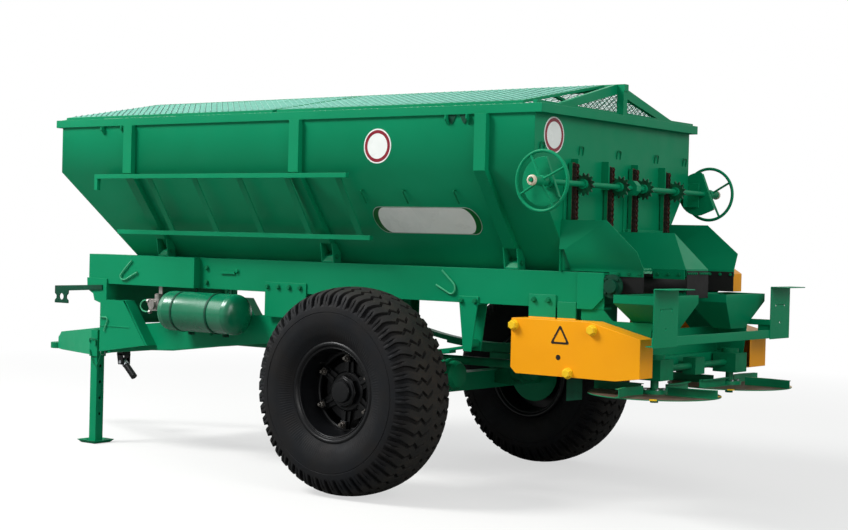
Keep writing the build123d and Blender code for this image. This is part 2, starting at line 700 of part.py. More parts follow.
def make_drive_yoke():
    """Universal joint that hangs from the drawbar, ready for the tractor's shaft."""
    drop = 27
    start = BEAM_FRONT + TIE_W
    shaft = rod_x(0, 0, 22, 0, 330)
    fork = block(330, 350, -42, 42, -42, 42) + block(350, 420, 30, 42, -22, 22) + block(350, 420, -42, -30, -22, 22)
    cross = rod_y(405, 0, 11, -30, 30) + rod_z(405, 0, 11, -34, 34)
    far = block(391, 455, -22, 22, 34, 44) + block(391, 455, -22, 22, -44, -34) + block(441, 455, -22, 22, -44, 44)
    tip = rod_x(0, 0, 27, 455, 520)
    return Pos(start - 6, 0, 655) * Rot(0, drop, 0) * (shaft + fork + cross + far + tip) - block(
        BEAM_FRONT, start, -100, 100, 500, 800
    )


# ---- hopper ----
def make_hopper():
    """Folded hopper: upright upper walls, sloping lower walls and a flat rear wall with two outlets."""
    def hull(t, low, top):
        foot = (WALL_REAR + t, FLOOR_FRONT - t, -FLOOR_Y + t, FLOOR_Y - t)
        bend = (WALL_REAR + t, WALL_FRONT - t, -WALL_Y + t, WALL_Y - t)
        skirt = block(*foot, low, RAIL_TOP)
        return skirt + tapered(foot, RAIL_TOP, bend, BEND_Z) + block(*bend, BEND_Z, top)
    shell = hull(0, RAIL_TOP - SKIRT_H, WALL_TOP) - hull(WALL_T, RAIL_TOP - SKIRT_H - 1, WALL_TOP + 1)
    shell -= block(WALL_REAR - 1, WALL_REAR + WALL_T, -WALL_Y, WALL_Y, RAIL_LOW, RAIL_TOP)
    wide = CHEEK_Y
    meet = BEND_Z - (WALL_Y - wide) / SLOPE
    rear = [(wide, RAIL_TOP), (wide, meet), (WALL_Y, BEND_Z), (WALL_Y, WALL_TOP)]
    rear += [(-y, z) for y, z in reversed(rear)]
    shell += cross_plate(rear, WALL_REAR, WALL_REAR + WALL_T)
    window = block(WALL_REAR - 1, WALL_REAR + WALL_T + 1, WINDOW_IN, WINDOW_OUT, RAIL_TOP + 6, WINDOW_TOP)
    return shell - both(window)


def make_hopper_rim():
    """Folded stiffening rim round the top of the hopper."""
    x0, x1 = WALL_REAR - RIM_OVER_X + 1, WALL_FRONT + RIM_OVER_X - 1
    y = WALL_Y + RIM_OVER_Y
    rim = block(x0, x1, -y, y, RIM_TOP - RIM_H, RIM_TOP)
    rim -= block(x0 + RIM_PLATE, x1 - RIM_PLATE, -WALL_Y, WALL_Y, RIM_TOP - RIM_H - 1, WALL_TOP)
    inside = block(
        WALL_REAR + RIM_INSIDE, WALL_FRONT - RIM_INSIDE, -WALL_Y + RIM_INSIDE, WALL_Y - RIM_INSIDE,
        WALL_TOP - 1, RIM_TOP + 1,
    )
    return rim - inside


def rib_section(x):
    """One folded rib, open towards the hopper: up the slope, round the bend and up the wall."""
    end_y = slope_y(RIB_END_Z)
    low = RIM_TOP - RIM_H
    outer = [
        (WALL_Y, low), (WALL_Y + RIB_D, low), (WALL_Y + RIB_D, BEND_Z - 10),
        (end_y + RIB_D + 8, RIB_END_Z), (end_y, RIB_END_Z), (WALL_Y, BEND_Z),
    ]
    inner = [
        (WALL_Y, low - RIB_T), (WALL_Y + RIB_D - RIB_T, low - RIB_T), (WALL_Y + RIB_D - RIB_T, BEND_Z - 8),
        (slope_y(RIB_END_Z + RIB_T) + RIB_D + 1, RIB_END_Z + RIB_T),
        (slope_y(RIB_END_Z + RIB_T), RIB_END_Z + RIB_T), (WALL_Y, BEND_Z),
    ]
    rib = cross_plate(outer, x - RIB_W / 2, x + RIB_W / 2)
    return rib - cross_plate(inner, x - RIB_W / 2 + RIB_T, x + RIB_W / 2 - RIB_T)


def above_mitre():
    """The space above the joint between a rib's two parts."""
    top = RIM_TOP
    outline = [(WALL_Y - 1, BEND_Z + 0.3), (WALL_Y + RIB_D + 1, BEND_Z - 10.3), (WALL_Y + RIB_D + 1, top), (WALL_Y - 1, top)]
    return cross_plate(outline, WALL_REAR, COVER_FRONT)


def make_wall_posts():
    """Upper parts of the ribs, on the upright wall, with the lifting gussets."""
    low = RIM_TOP - RIM_H
    gusset = [(WALL_Y, low), (WALL_Y + GUSSET_D, low), (WALL_Y + GUSSET_D, low - 22), (WALL_Y, low - 52)]
    posts = [rib_section(x) & above_mitre() for x in RIB_STATIONS]
    posts += [cross_plate(gusset, x - GUSSET_T / 2, x + GUSSET_T / 2) for x in GUSSET_STATIONS]
    return Compound(children=[both(post) for post in posts])


def make_slope_ribs():
    """Lower parts of the ribs, on the slope, with the feet that stand on the rails."""
    end_y = slope_y(RIB_END_Z)
    foot = [(450, RAIL_TOP), (512, RAIL_TOP), (end_y + RIB_D + 8, RIB_END_Z), (end_y, RIB_END_Z), (456, 1237)]
    core = [(440, RAIL_TOP - 1), (504, RAIL_TOP - 1), (end_y + RIB_D, RIB_END_Z + 1), (440, RIB_END_Z + 1)]
    half = FOOT_BRACKET_W / 2
    ribs = []
    for x in RIB_STATIONS:
        u_foot = cross_plate(foot, x - half, x + half)
        u_foot -= cross_plate(core, x - half + FOOT_BRACKET_T, x + half - FOOT_BRACKET_T)
        ribs.append(rib_section(x) - above_mitre() + u_foot)
    return Compound(children=[both(rib) for rib in ribs])


def make_side_rack():
    """Left side rack: two square bars joined by flat slats, on stand-offs from the ribs."""
    upper_y, lower_y, half = WALL_Y + 45, 620, RACK_SQ / 2
    rack = block(RACK_REAR, RACK_FRONT, upper_y - half, upper_y + half, RACK_UPPER_Z - half, RACK_UPPER_Z + half)
    rack += block(
        RACK_REAR, RACK_FRONT + 25, lower_y - half, lower_y + half, RACK_LOWER_Z - half, RACK_LOWER_Z + half
    )
    slat = [
        (upper_y - 3, RACK_UPPER_Z), (upper_y + 3, RACK_UPPER_Z), (lower_y + 3, RACK_LOWER_Z), (lower_y - 3, RACK_LOWER_Z),
    ]
    for x in SLAT_STATIONS:
        rack += cross_plate(slat, x - SLAT_W / 2, x + SLAT_W / 2)
    for x in RIB_STATIONS[:2]:
        rack += block(x - 6, x + 6, WALL_Y + RIB_D - 18, upper_y, RACK_UPPER_Z - half, RACK_UPPER_Z + half)
        rack += block(x - 6, x + 6, slope_y(RACK_LOWER_Z) + RIB_D, lower_y, RACK_LOWER_Z - half, RACK_LOWER_Z + half)
    rack += block(RACK_FRONT - 2 * half, RACK_FRONT, upper_y - half, upper_y + half, RACK_UPPER_Z - 80, RACK_UPPER_Z)
    rib = [(slope_y(RIB_END_Z) + RIB_D + 8, RIB_END_Z), (WALL_Y + RIB_D, BEND_Z - 10), (0, BEND_Z), (0, RIB_END_Z)]
    return rack - cross_plate(rib, RACK_REAR - 50, RACK_FRONT + 50)


# ---- gable cover ----
def make_cover_frame():
    """Ridge bar on three arches, the rear one with a post and a block at its peak."""
    frame = block(WALL_REAR - POST_SQ - 5, COVER_FRONT + 45, -RIDGE_W / 2, RIDGE_W / 2, RIDGE_Z - RIDGE_H, RIDGE_Z)
    reach = WALL_Y + RIM_OVER_Y - 2
    arches = (    # rear end, front end, half width over the feet, depth of the bars at the peak
        (WALL_REAR, WALL_REAR + GABLE_T, GABLE_Y, REAR_BAR),
        (COVER_SPLIT - 10, COVER_SPLIT + 10, reach, GABLE_BAR),
        (COVER_FRONT + 22, COVER_FRONT + 45, reach, GABLE_BAR),
    )
    for x0, x1, foot, bar in arches:
        arch = [(foot, RIM_TOP), (RIDGE_W / 2, RIDGE_Z), (-RIDGE_W / 2, RIDGE_Z), (-foot, RIM_TOP)]
        arch += [(-foot + 5 * GABLE_BAR, RIM_TOP), (0, RIDGE_Z - bar), (foot - 5 * GABLE_BAR, RIM_TOP)]
        frame += cross_plate(arch, x0, x1)
    frame += both(rod_x(HINGE_Y, RIDGE_Z - HINGE_DROP, HINGE_R, WALL_REAR, COVER_FRONT + 45))
    frame += block(WALL_REAR - POST_SQ, WALL_REAR, -POST_SQ / 2, POST_SQ / 2, RIM_TOP, RIDGE_Z - RIDGE_H)
    frame += block(WALL_REAR - 15, WALL_REAR + 7, -reach, reach, RIM_TOP, RIM_TOP + 14)
    return frame


def make_lid(x0, x1):
    """Left cover lid between two stations: edge bars, cross bars and bored hinge knuckles."""
    y0, y1 = HINGE_Y + 6, EAVE_Y
    def strip(a, b, c, d):
        low, high = cover_z(c), cover_z(d)
        return cross_plate([(c, low), (d, high), (d, high + COVER_BAR), (c, low + COVER_BAR)], a, b)
    lid = strip(x0, x1, y0, y0 + COVER_BAR_W) + strip(x0, x1, y1 - COVER_BAR_W, y1)
    pitch = (x1 - x0 - COVER_BAR_W) / (COVER_BARS - 1)
    for index in range(COVER_BARS):
        lid += strip(x0 + index * pitch, x0 + index * pitch + COVER_BAR_W, y0, y1)
    z = RIDGE_Z - HINGE_DROP
    for x in (x0 + 0.2 * (x1 - x0), x0 + 0.8 * (x1 - x0)):
        half = KNUCKLE_SQ / 2
        lid += block(x, x + KNUCKLE_L, HINGE_Y - half, HINGE_Y + half, z - half, z + half)
        lid -= rod_x(HINGE_Y, z, HINGE_R + BEARING_GAP, x - 1, x + KNUCKLE_L + 1)
    return lid


# ---- conveyor and gates ----
def make_conveyor():
    """Floor conveyor as one fixed loop: belt, slats, end rollers and their shafts."""
    mid = BELT_TOP - BELT_T - ROLLER_R
    def loop(radius, y):
        body = block(BELT_REAR, BELT_FRONT, -y, y, mid - radius, mid + radius)
        return body + rod_y(BELT_REAR, mid, radius, -y, y) + rod_y(BELT_FRONT, mid, radius, -y, y)
    belt = loop(ROLLER_R + BELT_T, BELT_Y) - loop(ROLLER_R, BELT_Y + 1)
    count = int((BELT_FRONT - BELT_REAR) / SLAT_PITCH)
    slats = []
    for index in range(count + 1):
        x = BELT_REAR + 20 + index * SLAT_PITCH
        for z in (BELT_TOP, mid - ROLLER_R - BELT_T - BELT_SLAT_H):
            slats.append(block(x, x + BELT_SLAT_L, -BELT_Y, BELT_Y, z, z + BELT_SLAT_H))
    belt += slats
    for x in (BELT_REAR, BELT_FRONT):
        belt += rod_y(x, mid, ROLLER_R, -BELT_Y, BELT_Y) + rod_y(x, mid, 20, -WEB_IN, WEB_IN)
    return belt


def make_chain_rack(y):
    """Bar with a length of roller chain on its rear face, standing up from a gate."""
    face = RACK_X + CHAIN_PLATE_H / 2
    bar = block(face, GATE_FACE, y - RACK_BAR_W / 2, y + RACK_BAR_W / 2, GATE_LOW + 110, RACK_TOP)
    first = SHAFT_Z + CHAIN_PITCH / 2 - 10 * CHAIN_PITCH
    low, top = first - CHAIN_PITCH / 2, first + (RACK_PINS - 0.5) * CHAIN_PITCH
    for side in (-1, 1):
        inner = y + side * CHAIN_INNER_W / 2
        bar += block(RACK_X - CHAIN_PLATE_H / 2, face, inner, inner + side * CHAIN_PLATE_T, low, top)
    half = CHAIN_INNER_W / 2 + CHAIN_PLATE_T
    for index in range(RACK_PINS):
        z = first + index * CHAIN_PITCH
        turns = [radians(60 * corner) for corner in range(6)]
        roller = [(RACK_X + ROLLER_D / 2 * cos(turn), z + ROLLER_D / 2 * sin(turn)) for turn in turns]
        bar += side_plate(roller, y - half, y + half)
    return bar


def make_gate():
    """Left gate: the sliding plate with its two chain racks and a stiffening bar."""
    gate = block(GATE_FACE, GATE_FACE + GATE_T, GATE_IN, GATE_OUT, GATE_LOW, GATE_LOW + GATE_H)
    gate += block(GATE_FACE - 20, GATE_FACE, GATE_IN + 10, GATE_OUT - 10, GATE_LOW + GATE_H - 30, GATE_LOW + GATE_H)
    for y in RACK_Y:
        gate += make_chain_rack(y)
    return gate


def make_gate_guides():
    """Guides on the rear wall: lips that keep the gates' edges and bars beside the racks."""
    parts = []
    x0 = GATE_FACE - 1
    for y0, side in ((GATE_OUT + 1, 1), (GATE_IN - 1, -1)):
        post = block(x0, WALL_REAR, y0, y0 + side * 6, RAIL_TOP + 4, GUIDE_TOP)
        lip = block(x0 - 4, x0, y0 + side * 6, y0 - side * GUIDE_LIP, RAIL_TOP + 4, GATE_LOW + 60)
        parts.append(post + lip)
    for y in RACK_Y:
        side = 1 if y == RACK_Y[0] else -1
        y0 = y + side * (RACK_BAR_W / 2 + 5)
        parts.append(block(RACK_X, WALL_REAR, y0, y0 + side * 12, GATE_LOW + GATE_H + GATE_TRAVEL + 6, GUIDE_TOP + 100))
    return Compound(children=[both(part) for part in parts])


def make_sprocket(y):
    """Sprocket with slender teeth, one pointing straight at the rack."""
    root, tip = PITCH_R - 8.4, PITCH_R + 5
    outline = []
    for index in range(TEETH):
        for radius, half_width in ((root, -5.2), (tip, -1.8), (tip, 1.8), (root, 5.2)):
            turn = radians(index * 360 / TEETH) + half_width / radius
            outline.append((SHAFT_X + radius * cos(turn), SHAFT_Z + radius * sin(turn)))
    return side_plate(outline, y - TOOTH_W / 2, y + TOOTH_W / 2)


def make_gate_shaft():
    """Left gate shaft with its two sprockets and its four-spoke handwheel."""
    shaft = rod_y(SHAFT_X, SHAFT_Z, SHAFT_R, 6, SHAFT_END)
    for y in RACK_Y:
        shaft += make_sprocket(y)
    def ring(radius):
        turns = [radians(index * 360 / WHEEL_FLATS) for index in range(WHEEL_FLATS)]
        return [(SHAFT_X + radius * cos(turn), SHAFT_Z + radius * sin(turn)) for turn in turns]
    low, top = WHEEL_Y - WHEEL_ROD, WHEEL_Y + WHEEL_ROD
    band = side_plate(ring(WHEEL_R), low, top) - side_plate(ring(WHEEL_R - 2 * WHEEL_ROD), low - 1, top + 1)
    spoke = block(10, WHEEL_R - WHEEL_ROD, -6, 6, -7, 7)
    spokes = [Pos(SHAFT_X, WHEEL_Y, SHAFT_Z) * Rot(0, 45 + index * 90, 0) * spoke for index in range(4)]
    return shaft + band + spokes + rod_y(SHAFT_X, SHAFT_Z, 30, WHEEL_Y - 18, WHEEL_Y + 18)


def make_shaft_brackets():
    """Plates and bearings that carry the gate shafts: one at each end and one shared at the middle."""
    parts = []
    for y, reach in ((BRACKET_Y, BRACKET_R),):
        fillet = [(SHAFT_X - reach * sin(radians(a)), SHAFT_Z + reach * cos(radians(a))) for a in range(0, 181, 30)]
        outline = [(WALL_REAR, SHAFT_Z + reach + 25)] + fillet + [(WALL_REAR, SHAFT_Z - reach - 15)]
        plate = side_plate(outline, y - BRACKET_T / 2, y + BRACKET_T / 2) + rod_y(SHAFT_X, SHAFT_Z, 30, y, y + 16)
        parts.append(both(plate - rod_y(SHAFT_X, SHAFT_Z, SHAFT_R + BEARING_GAP, y - 17, y + 17)))
    middle = block(SHAFT_X - 30, WALL_REAR, -22, 22, SHAFT_Z - 30, SHAFT_Z + 30)
    parts.append(middle - rod_y(SHAFT_X, SHAFT_Z, SHAFT_R + BEARING_GAP, -23, 23))
    return Compound(children=parts)


# ---- chute ----
def make_chute():
    """Folded side cheeks behind the rear wall and the gabled divider between the two outlets."""
    fold = [(CHEEK_Y, CHUTE_TOP), CHEEK_FOLD, CHEEK_FOOT, (CHEEK_FOOT[0], SKIRT_LOW)]
    sheet = cross_plate(fold + [(y - CHUTE_T, z) for y, z in reversed(fold)], -CHUTE_REAR, WALL_REAR)
    notch = WALL_REAR - 30
    cheek = [
        (WALL_REAR, CHUTE_TOP), (-1260, CHUTE_TOP), (-CHUTE_REAR + 8, CHEEK_FOLD[1]), (-CHUTE_REAR, CHEEK_FOOT[1]),
        (-CHUTE_REAR, SKIRT_LOW), (RAIL_REAR - 7, SKIRT_LOW), (RAIL_REAR - 7, RAIL_TOP + 4), (notch, RAIL_TOP + 4),
        (notch, CHEEK_FOLD[1] + 4), (WALL_REAR, CHEEK_FOLD[1] + 4),
    ]
    sheet &= side_plate(cheek, CHEEK_FOOT[0] - 10, CHEEK_FOLD[0] + 10)
    def wedge(drop):
        roof = [(-DIVIDER_Y, DIVIDER_BASE - drop), (0, DIVIDER_TOP - drop), (DIVIDER_Y, DIVIDER_BASE - drop)]
        side = [
            (-DIVIDER_FRONT, DIVIDER_BASE - drop), (-DIVIDER_FRONT, DIVIDER_TOP - drop),
            (-DIVIDER_RIDGE_REAR, DIVIDER_TOP - drop), (-DIVIDER_REAR, DIVIDER_BASE - drop),
        ]
        return cross_plate(roof, -DIVIDER_REAR - 10, -DIVIDER_FRONT + 0) & side_plate(side, -DIVIDER_Y - 10, DIVIDER_Y + 10)
    divider = wedge(0) - wedge(8)
    divider += block(-DIVIDER_REAR, 4 - DIVIDER_REAR, 6 - DIVIDER_Y, DIVIDER_Y - 6, SKIRT_LOW, DIVIDER_BASE + 4)
    web = block(-DIVIDER_FRONT - 60, WALL_REAR, -6, 6, DIVIDER_BASE + 40, DIVIDER_TOP - 12)
    return Compound(children=[both(sheet), divider + web])


def make_flaps():
    """Rubber flaps that hang from the cheeks and from the divider's rear edge."""
    y = CHEEK_FOOT[0] - CHUTE_T
    low = FUNNEL_TOP + FLAP_GAP
    side = [(-1290, SKIRT_LOW + 25), (-CHUTE_REAR, SKIRT_LOW + 25), (-CHUTE_REAR, low), (-1290, low)]
    flap = side_plate(side, y - FLAP_T, y)
    rear = block(-DIVIDER_REAR - FLAP_T, -DIVIDER_REAR, -DIVIDER_Y + 6, DIVIDER_Y - 6, FLAP_LOW, DIVIDER_BASE - 6)
    return Compound(children=[both(flap), rear])


def make_funnels():
    """Two tapered funnels that drop the material on the discs."""
    top = (-MOUTH_REAR, -MOUTH_FRONT, MOUTH_IN, MOUTH_OUT)
    low = (-SPOUT_REAR, -SPOUT_FRONT, SPOUT_Y - SPOUT_HALF, SPOUT_Y + SPOUT_HALF)
    def inside(rectangle):
        x0, x1, y0, y1 = rectangle
        return (x0 + FUNNEL_T, x1 - FUNNEL_T, y0 + FUNNEL_T, y1 - FUNNEL_T)
    funnel = tapered(low, FUNNEL_LOW, top, FUNNEL_TOP - 40) + block(*top, FUNNEL_TOP - 40, FUNNEL_TOP)
    funnel -= tapered(inside(low), FUNNEL_LOW, inside(top), FUNNEL_TOP - 40)
    funnel -= block(*inside(top), FUNNEL_TOP - 40, FUNNEL_TOP + 1)
    rise = (MOUTH_OUT - SPOUT_Y - SPOUT_HALF) / (FUNNEL_TOP - 40 - FUNNEL_LOW)
    ear = []
    for z in (ARM_TOP - 26, ARM_TOP - 4):
        ear.append((SPOUT_Y + SPOUT_HALF + (z - FUNNEL_LOW) * rise - 1, z))
    ear += [(SUBFRAME_Y + 5, ARM_TOP - 4), (SUBFRAME_Y + 5, ARM_TOP - 26)]
    funnel += cross_plate(ear, DISC_X - 30, DISC_X + 30)
    return both(funnel)


def make_subframe():
    """Rear side plates, the bearer for the disc gearboxes and the cross plate in front of it."""
    front = BEARER_REAR + BEARER_W
    plate = [
        (-1120, RAIL_LOW), (-1245, RAIL_LOW), (-1300, ARM_TOP), (LAMP_X, ARM_TOP), (LAMP_X, ARM_TOP - 30),
        (DISC_X - 40, ARM_TOP - 30), (DISC_X - 15, BEARER_LOW), (front, BEARER_LOW), (-1210, 850), (-1120, 950),
    ]
    edge = SUBFRAME_Y + 5
    frame = both(side_plate(plate, edge, edge + SUBFRAME_T))
    bearer = block(BEARER_REAR, front, -edge, edge, BEARER_LOW, BEARER_LOW + BEARER_H)
    bearer -= block(BEARER_REAR + 4, front - 4, -edge - 1, edge + 1, BEARER_LOW + 4, BEARER_LOW + BEARER_H - 4)
    bearer += block(front, front + 6, -edge, edge, BEARER_LOW, CROSS_TOP)
    bearer -= rod_x(0, 722, 19, BEARER_REAR - 5, front + 7)
    return frame + bearer


def make_gearboxes():
    """Right-angle gearbox over each disc, bolted back to the bearer."""
    low, top = GEARBOX_LOW, GEARBOX_LOW + GEARBOX_H
    half = GEARBOX_L / 2
    box = block(DISC_X - half, DISC_X + half, DISC_Y - half, DISC_Y + half, low, top)
    box += rod_z(DISC_X, DISC_Y, 45, top, top + 22)
    box += block(DISC_X + half, BEARER_REAR, DISC_Y - 45, DISC_Y + 45, 695, 765)
    return both(box - rod_z(DISC_X, DISC_Y, SPINDLE_SHAFT_R + BEARING_GAP, low - 1, low + 60))


def make_spinner(side):
    """Spreading disc with its spindle, hub bolt and curved channel vanes; side is 1 left, -1 right."""
    disc = rod_z(0, 0, DISC_R, DISC_Z, DISC_Z + DISC_T)
    disc += rod_z(0, 0, 62, DISC_Z + DISC_T, DISC_Z + 24) + rod_z(0, 0, SPINDLE_SHAFT_R, DISC_Z - 38, GEARBOX_LOW + 50)
    line = [(80, 0), (205, 14), (318, 56)]
    def path(offset):
        return [(x, y + offset) for x, y in line]
    tip = sqrt(line[-1][0] ** 2 + line[-1][1] ** 2)
    grow = VANE_REACH / tip
    line = [(x * grow, y * grow) for x, y in line]
    top = DISC_Z + DISC_T
    def ribbon(depth, z0, z1):
        return flat_plate(path(0) + list(reversed(path(-depth))), z0, z1)
    vane = ribbon(VANE_T, top, top + VANE_H) + ribbon(VANE_LIP, top, top + VANE_T)
    vane += ribbon(VANE_LIP, top + VANE_H - VANE_T, top + VANE_H)
    turn = degrees(atan2(line[-1][1], line[-1][0]))
    disc += [Rot(0, 0, index * 360 / VANE_COUNT - turn) * vane for index in range(VANE_COUNT)]
    disc = Pos(DISC_X, DISC_Y, 0) * disc
    return disc if side > 0 else right_of(disc)


# ---- guards and lamp bracket ----
def make_chain_guard(depth):
    """Left chain guard of a depth: a folded box, open inwards, with the brackets that hang it from the rail."""
    outline = [(-800, 945), (-1250, 945), (-1530, 876), (-1530, 690), (-1400, 672), (-830, 672), (-800, 700)]
    y0 = RAIL_Y + 8
    t = GUARD_SHEET
    inner = [
        (-800 - t, 945 - t), (-1250, 945 - t), (-1530 + t, 876 - t), (-1530 + t, 690 + t), (-1400, 672 + t),
        (-830, 672 + t), (-800 - t, 700 + t),
    ]
    guard = side_plate(outline, y0, y0 + depth) - side_plate(inner, y0 - 1, y0 + depth - t)
    for x0, x1, top in ((-977, -818, 1062), (-1095, -987, 1030)):
        guard += block(x0, x1, RAIL_Y, y0, 890, top)
    return guard


def make_upper_guard():
    """Guard over the conveyor drive, on the right side only."""
    outline = [(-900, 1085), (-900, 1235), (-1330, 1235), (-1420, 1180), (-1420, 1085)]
    t = GUARD_SHEET
    inner = [(-900 - t, 1085 + t), (-900 - t, 1235 - t), (-1330, 1235 - t), (-1420 + t, 1180 - 2), (-1420 + t, 1085 + t)]
    y0 = CHEEK_Y + 1
    guard = side_plate(outline, y0, y0 + 95) - side_plate(inner, y0 - 1, y0 + 95 - t)
    guard += block(RAIL_REAR + 50, RAIL_REAR + 110, RAIL_Y + RAIL_LUG_T, y0 + 40, 1085, 1105)
    return right_of(guard)


def make_lamp_bracket():
    """Rear lamp plates with their top flanges, on a cross bar."""
    plate = block(LAMP_X - LAMP_T, LAMP_X, LAMP_Y - LAMP_W, LAMP_Y, LAMP_LOW, LAMP_TOP)
    plate += block(LAMP_X - LAMP_FLANGE, LAMP_X, LAMP_Y - LAMP_W, LAMP_Y, LAMP_TOP - LAMP_T, LAMP_TOP)
    mid = LAMP_Y - LAMP_W / 2
    low = LAMP_TOP - 100
    for dy, dz in ((-LAMP_HOLE_PITCH / 2, 0), (LAMP_HOLE_PITCH / 2, 0), (0, -LAMP_HOLE_PITCH * 0.85)):
        plate -= rod_x(mid + dy, low + dz, LAMP_HOLE_R, LAMP_X - LAMP_T - 1, LAMP_X + 1)
    bar = block(LAMP_X, LAMP_X + LAMP_T, -LAMP_Y, LAMP_Y, LAMP_LOW + 5, LAMP_LOW + 5 + LAMP_BAR_H)
    bar += block(LAMP_X, LAMP_X + 35, -LAMP_Y, LAMP_Y, LAMP_LOW + 5, LAMP_LOW + 5 + LAMP_T)
    for side in (-1, 1):
        y = side * (SUBFRAME_Y + 5 + SUBFRAME_T)
        bar += block(LAMP_X, LAMP_X + 70, y, y + side * 8, LAMP_LOW + 5, ARM_TOP)
    return both(plate) + bar


# ---- write every node ----
def write(name, shape):
    """Shift one finished piece into the part's frame and write it."""
    export_step(Pos(SHIFT_X, 0, 0) * shape, f"parts/{name}.step")


def write_pair(name, shape):
    """Write a left piece and its mirror image as two nodes."""
    write(f"{name}_left", shape)
    write(f"{name}_right", right_of(shape))


write_pair("tyre", make_tyre())
write_pair("rim", make_rim())
write_pair("hub", make_hub())
write("axle", make_axle())
write_pair("rail", make_rail())
write_pair("front_box", make_front_box())
write("crossmembers", make_crossmembers())
write("spring_beam", make_spring_beam())
write_pair("side_beam", make_side_beam())
write("drawbar", make_tongue())
write_pair("riser", make_riser())
write("hitch_eye", make_hitch_eye())
write("jack_sleeve", make_jack_sleeve())
write("jack_leg", make_jack_leg())
write("hose_bracket", make_hose_bracket())
write("leaf_springs", both(make_spring()))
hangers = make_hangers()
write("spring_hangers", Compound(children=[hangers, right_of(hangers)]))
write("air_tank", make_air_tank())
write("tank_straps", make_tank_straps())
write("brake_valve", make_brake_valve())
write("drive_gearbox", make_drive_gearbox())
write("drive_shafts", make_drive_shafts())
write("drive_yoke", make_drive_yoke())
write("hopper", make_hopper())
write("hopper_rim", make_hopper_rim())
write("wall_posts", make_wall_posts())
write("slope_ribs", make_slope_ribs())
write_pair("side_rack", make_side_rack())
write("cover_frame", make_cover_frame())
write_pair("lid_front", make_lid(COVER_SPLIT + 10 + COVER_GAP, COVER_FRONT + 22 - COVER_GAP))
write_pair("lid_rear", make_lid(WALL_REAR + LID_INSET, COVER_SPLIT - 10 - COVER_GAP))
write("conveyor", make_conveyor())
write_pair("gate", make_gate())
write("gate_guides", make_gate_guides())
write_pair("gate_shaft", make_gate_shaft())
write("shaft_brackets", make_shaft_brackets())
write("chute", make_chute())
write("rubber_flaps", make_flaps())
write("funnels", make_funnels())
write("rear_subframe", make_subframe())
write("disc_gearboxes", make_gearboxes())
write("spinner_left", make_spinner(1))
write("spinner_right", make_spinner(-1))
write("chain_guard_left", make_chain_guard(GUARD_D))
write("chain_guard_right", right_of(make_chain_guard(GUARD_RIGHT_D)))
write("upper_guard", make_upper_guard())
write("lamp_bracket", make_lamp_bracket())
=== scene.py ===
import logging
import math
from collections.abc import Sequence
from dataclasses import dataclass, field, replace
from enum import Enum

import bmesh
import bpy
import numpy as np
from mathutils import Matrix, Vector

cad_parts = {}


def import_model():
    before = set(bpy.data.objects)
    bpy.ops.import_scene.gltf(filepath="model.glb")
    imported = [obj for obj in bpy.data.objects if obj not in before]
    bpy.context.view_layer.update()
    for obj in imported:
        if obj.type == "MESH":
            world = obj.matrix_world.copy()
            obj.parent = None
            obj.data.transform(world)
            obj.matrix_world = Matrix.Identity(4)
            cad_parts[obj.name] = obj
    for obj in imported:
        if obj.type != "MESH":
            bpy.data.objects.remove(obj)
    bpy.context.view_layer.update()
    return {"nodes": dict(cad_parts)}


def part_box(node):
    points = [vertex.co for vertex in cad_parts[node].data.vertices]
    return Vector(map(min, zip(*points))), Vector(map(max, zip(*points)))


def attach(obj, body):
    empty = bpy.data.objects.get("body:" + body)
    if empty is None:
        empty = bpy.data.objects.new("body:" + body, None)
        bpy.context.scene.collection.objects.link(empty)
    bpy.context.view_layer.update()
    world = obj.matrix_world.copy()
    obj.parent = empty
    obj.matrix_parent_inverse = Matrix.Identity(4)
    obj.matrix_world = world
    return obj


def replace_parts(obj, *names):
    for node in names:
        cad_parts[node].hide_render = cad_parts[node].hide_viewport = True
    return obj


logging.basicConfig(level=logging.INFO, format="%(message)s")
log = logging.getLogger("spreader")

TAU = 2.0 * math.pi
WHITE = (1.0, 1.0, 1.0, 1.0)


class Side(Enum):
    """The two sides of the machine, as the sign of Y."""

    LEFT = 1
    RIGHT = -1

    @property
    def word(self) -> str:
        """The side's name in node names."""
        return self.name.lower()

    @property
    def sign(self) -> float:
        """1 on the left and -1 on the right, the way out from the machine's middle."""
        return float(self.value)


class Along(Enum):
    """A direction of the shared frame."""

    X = (1.0, 0.0, 0.0)
    Y = (0.0, 1.0, 0.0)
    Z = (0.0, 0.0, 1.0)

    def frame(self) -> tuple[np.ndarray, np.ndarray, np.ndarray]:
        """The direction and two directions square to it, right-handed.

        Returns:
            The three unit vectors.
        """
        axes = np.eye(3)
        first = list(Along).index(self)
        return axes[first], axes[(first + 1) % 3], axes[(first + 2) % 3]


# ---------------------------------------------------------------- finishes


def linear(code: str) -> tuple[float, float, float, float]:
    """Turns an sRGB hex value to linear RGBA by the piecewise sRGB curve.

    Args:
        code: six hex digits with a leading sign.

    Returns:
        Linear red, green, blue and an alpha of one.
    """
    shares = [int(code[i : i + 2], 16) / 255.0 for i in (1, 3, 5)]
    curve = [s / 12.92 if s <= 0.04045 else ((s + 0.055) / 1.055) ** 2.4 for s in shares]
    return (*curve, 1.0)


def add(
    tree: bpy.types.NodeTree,
    kind: str,
    settings: dict[str, object] | None = None,
    links: dict[str | int, bpy.types.NodeSocket] | None = None,
) -> bpy.types.Node:
    """Adds one node with its settings and links.

    Args:
        tree: the material's node tree.
        kind: Blender's name of the node's class.
        settings: values by property name or by input name.
        links: outputs to join, by input name or place.

    Returns:
        The new node.
    """
    node = tree.nodes.new(kind)
    for key, value in (settings or {}).items():
        if isinstance(key, str) and hasattr(node, key) and key not in node.inputs:
            setattr(node, key, value)
        else:
            node.inputs[key].default_value = value
    for key, socket in (links or {}).items():
        tree.links.new(socket, node.inputs[key])
    return node


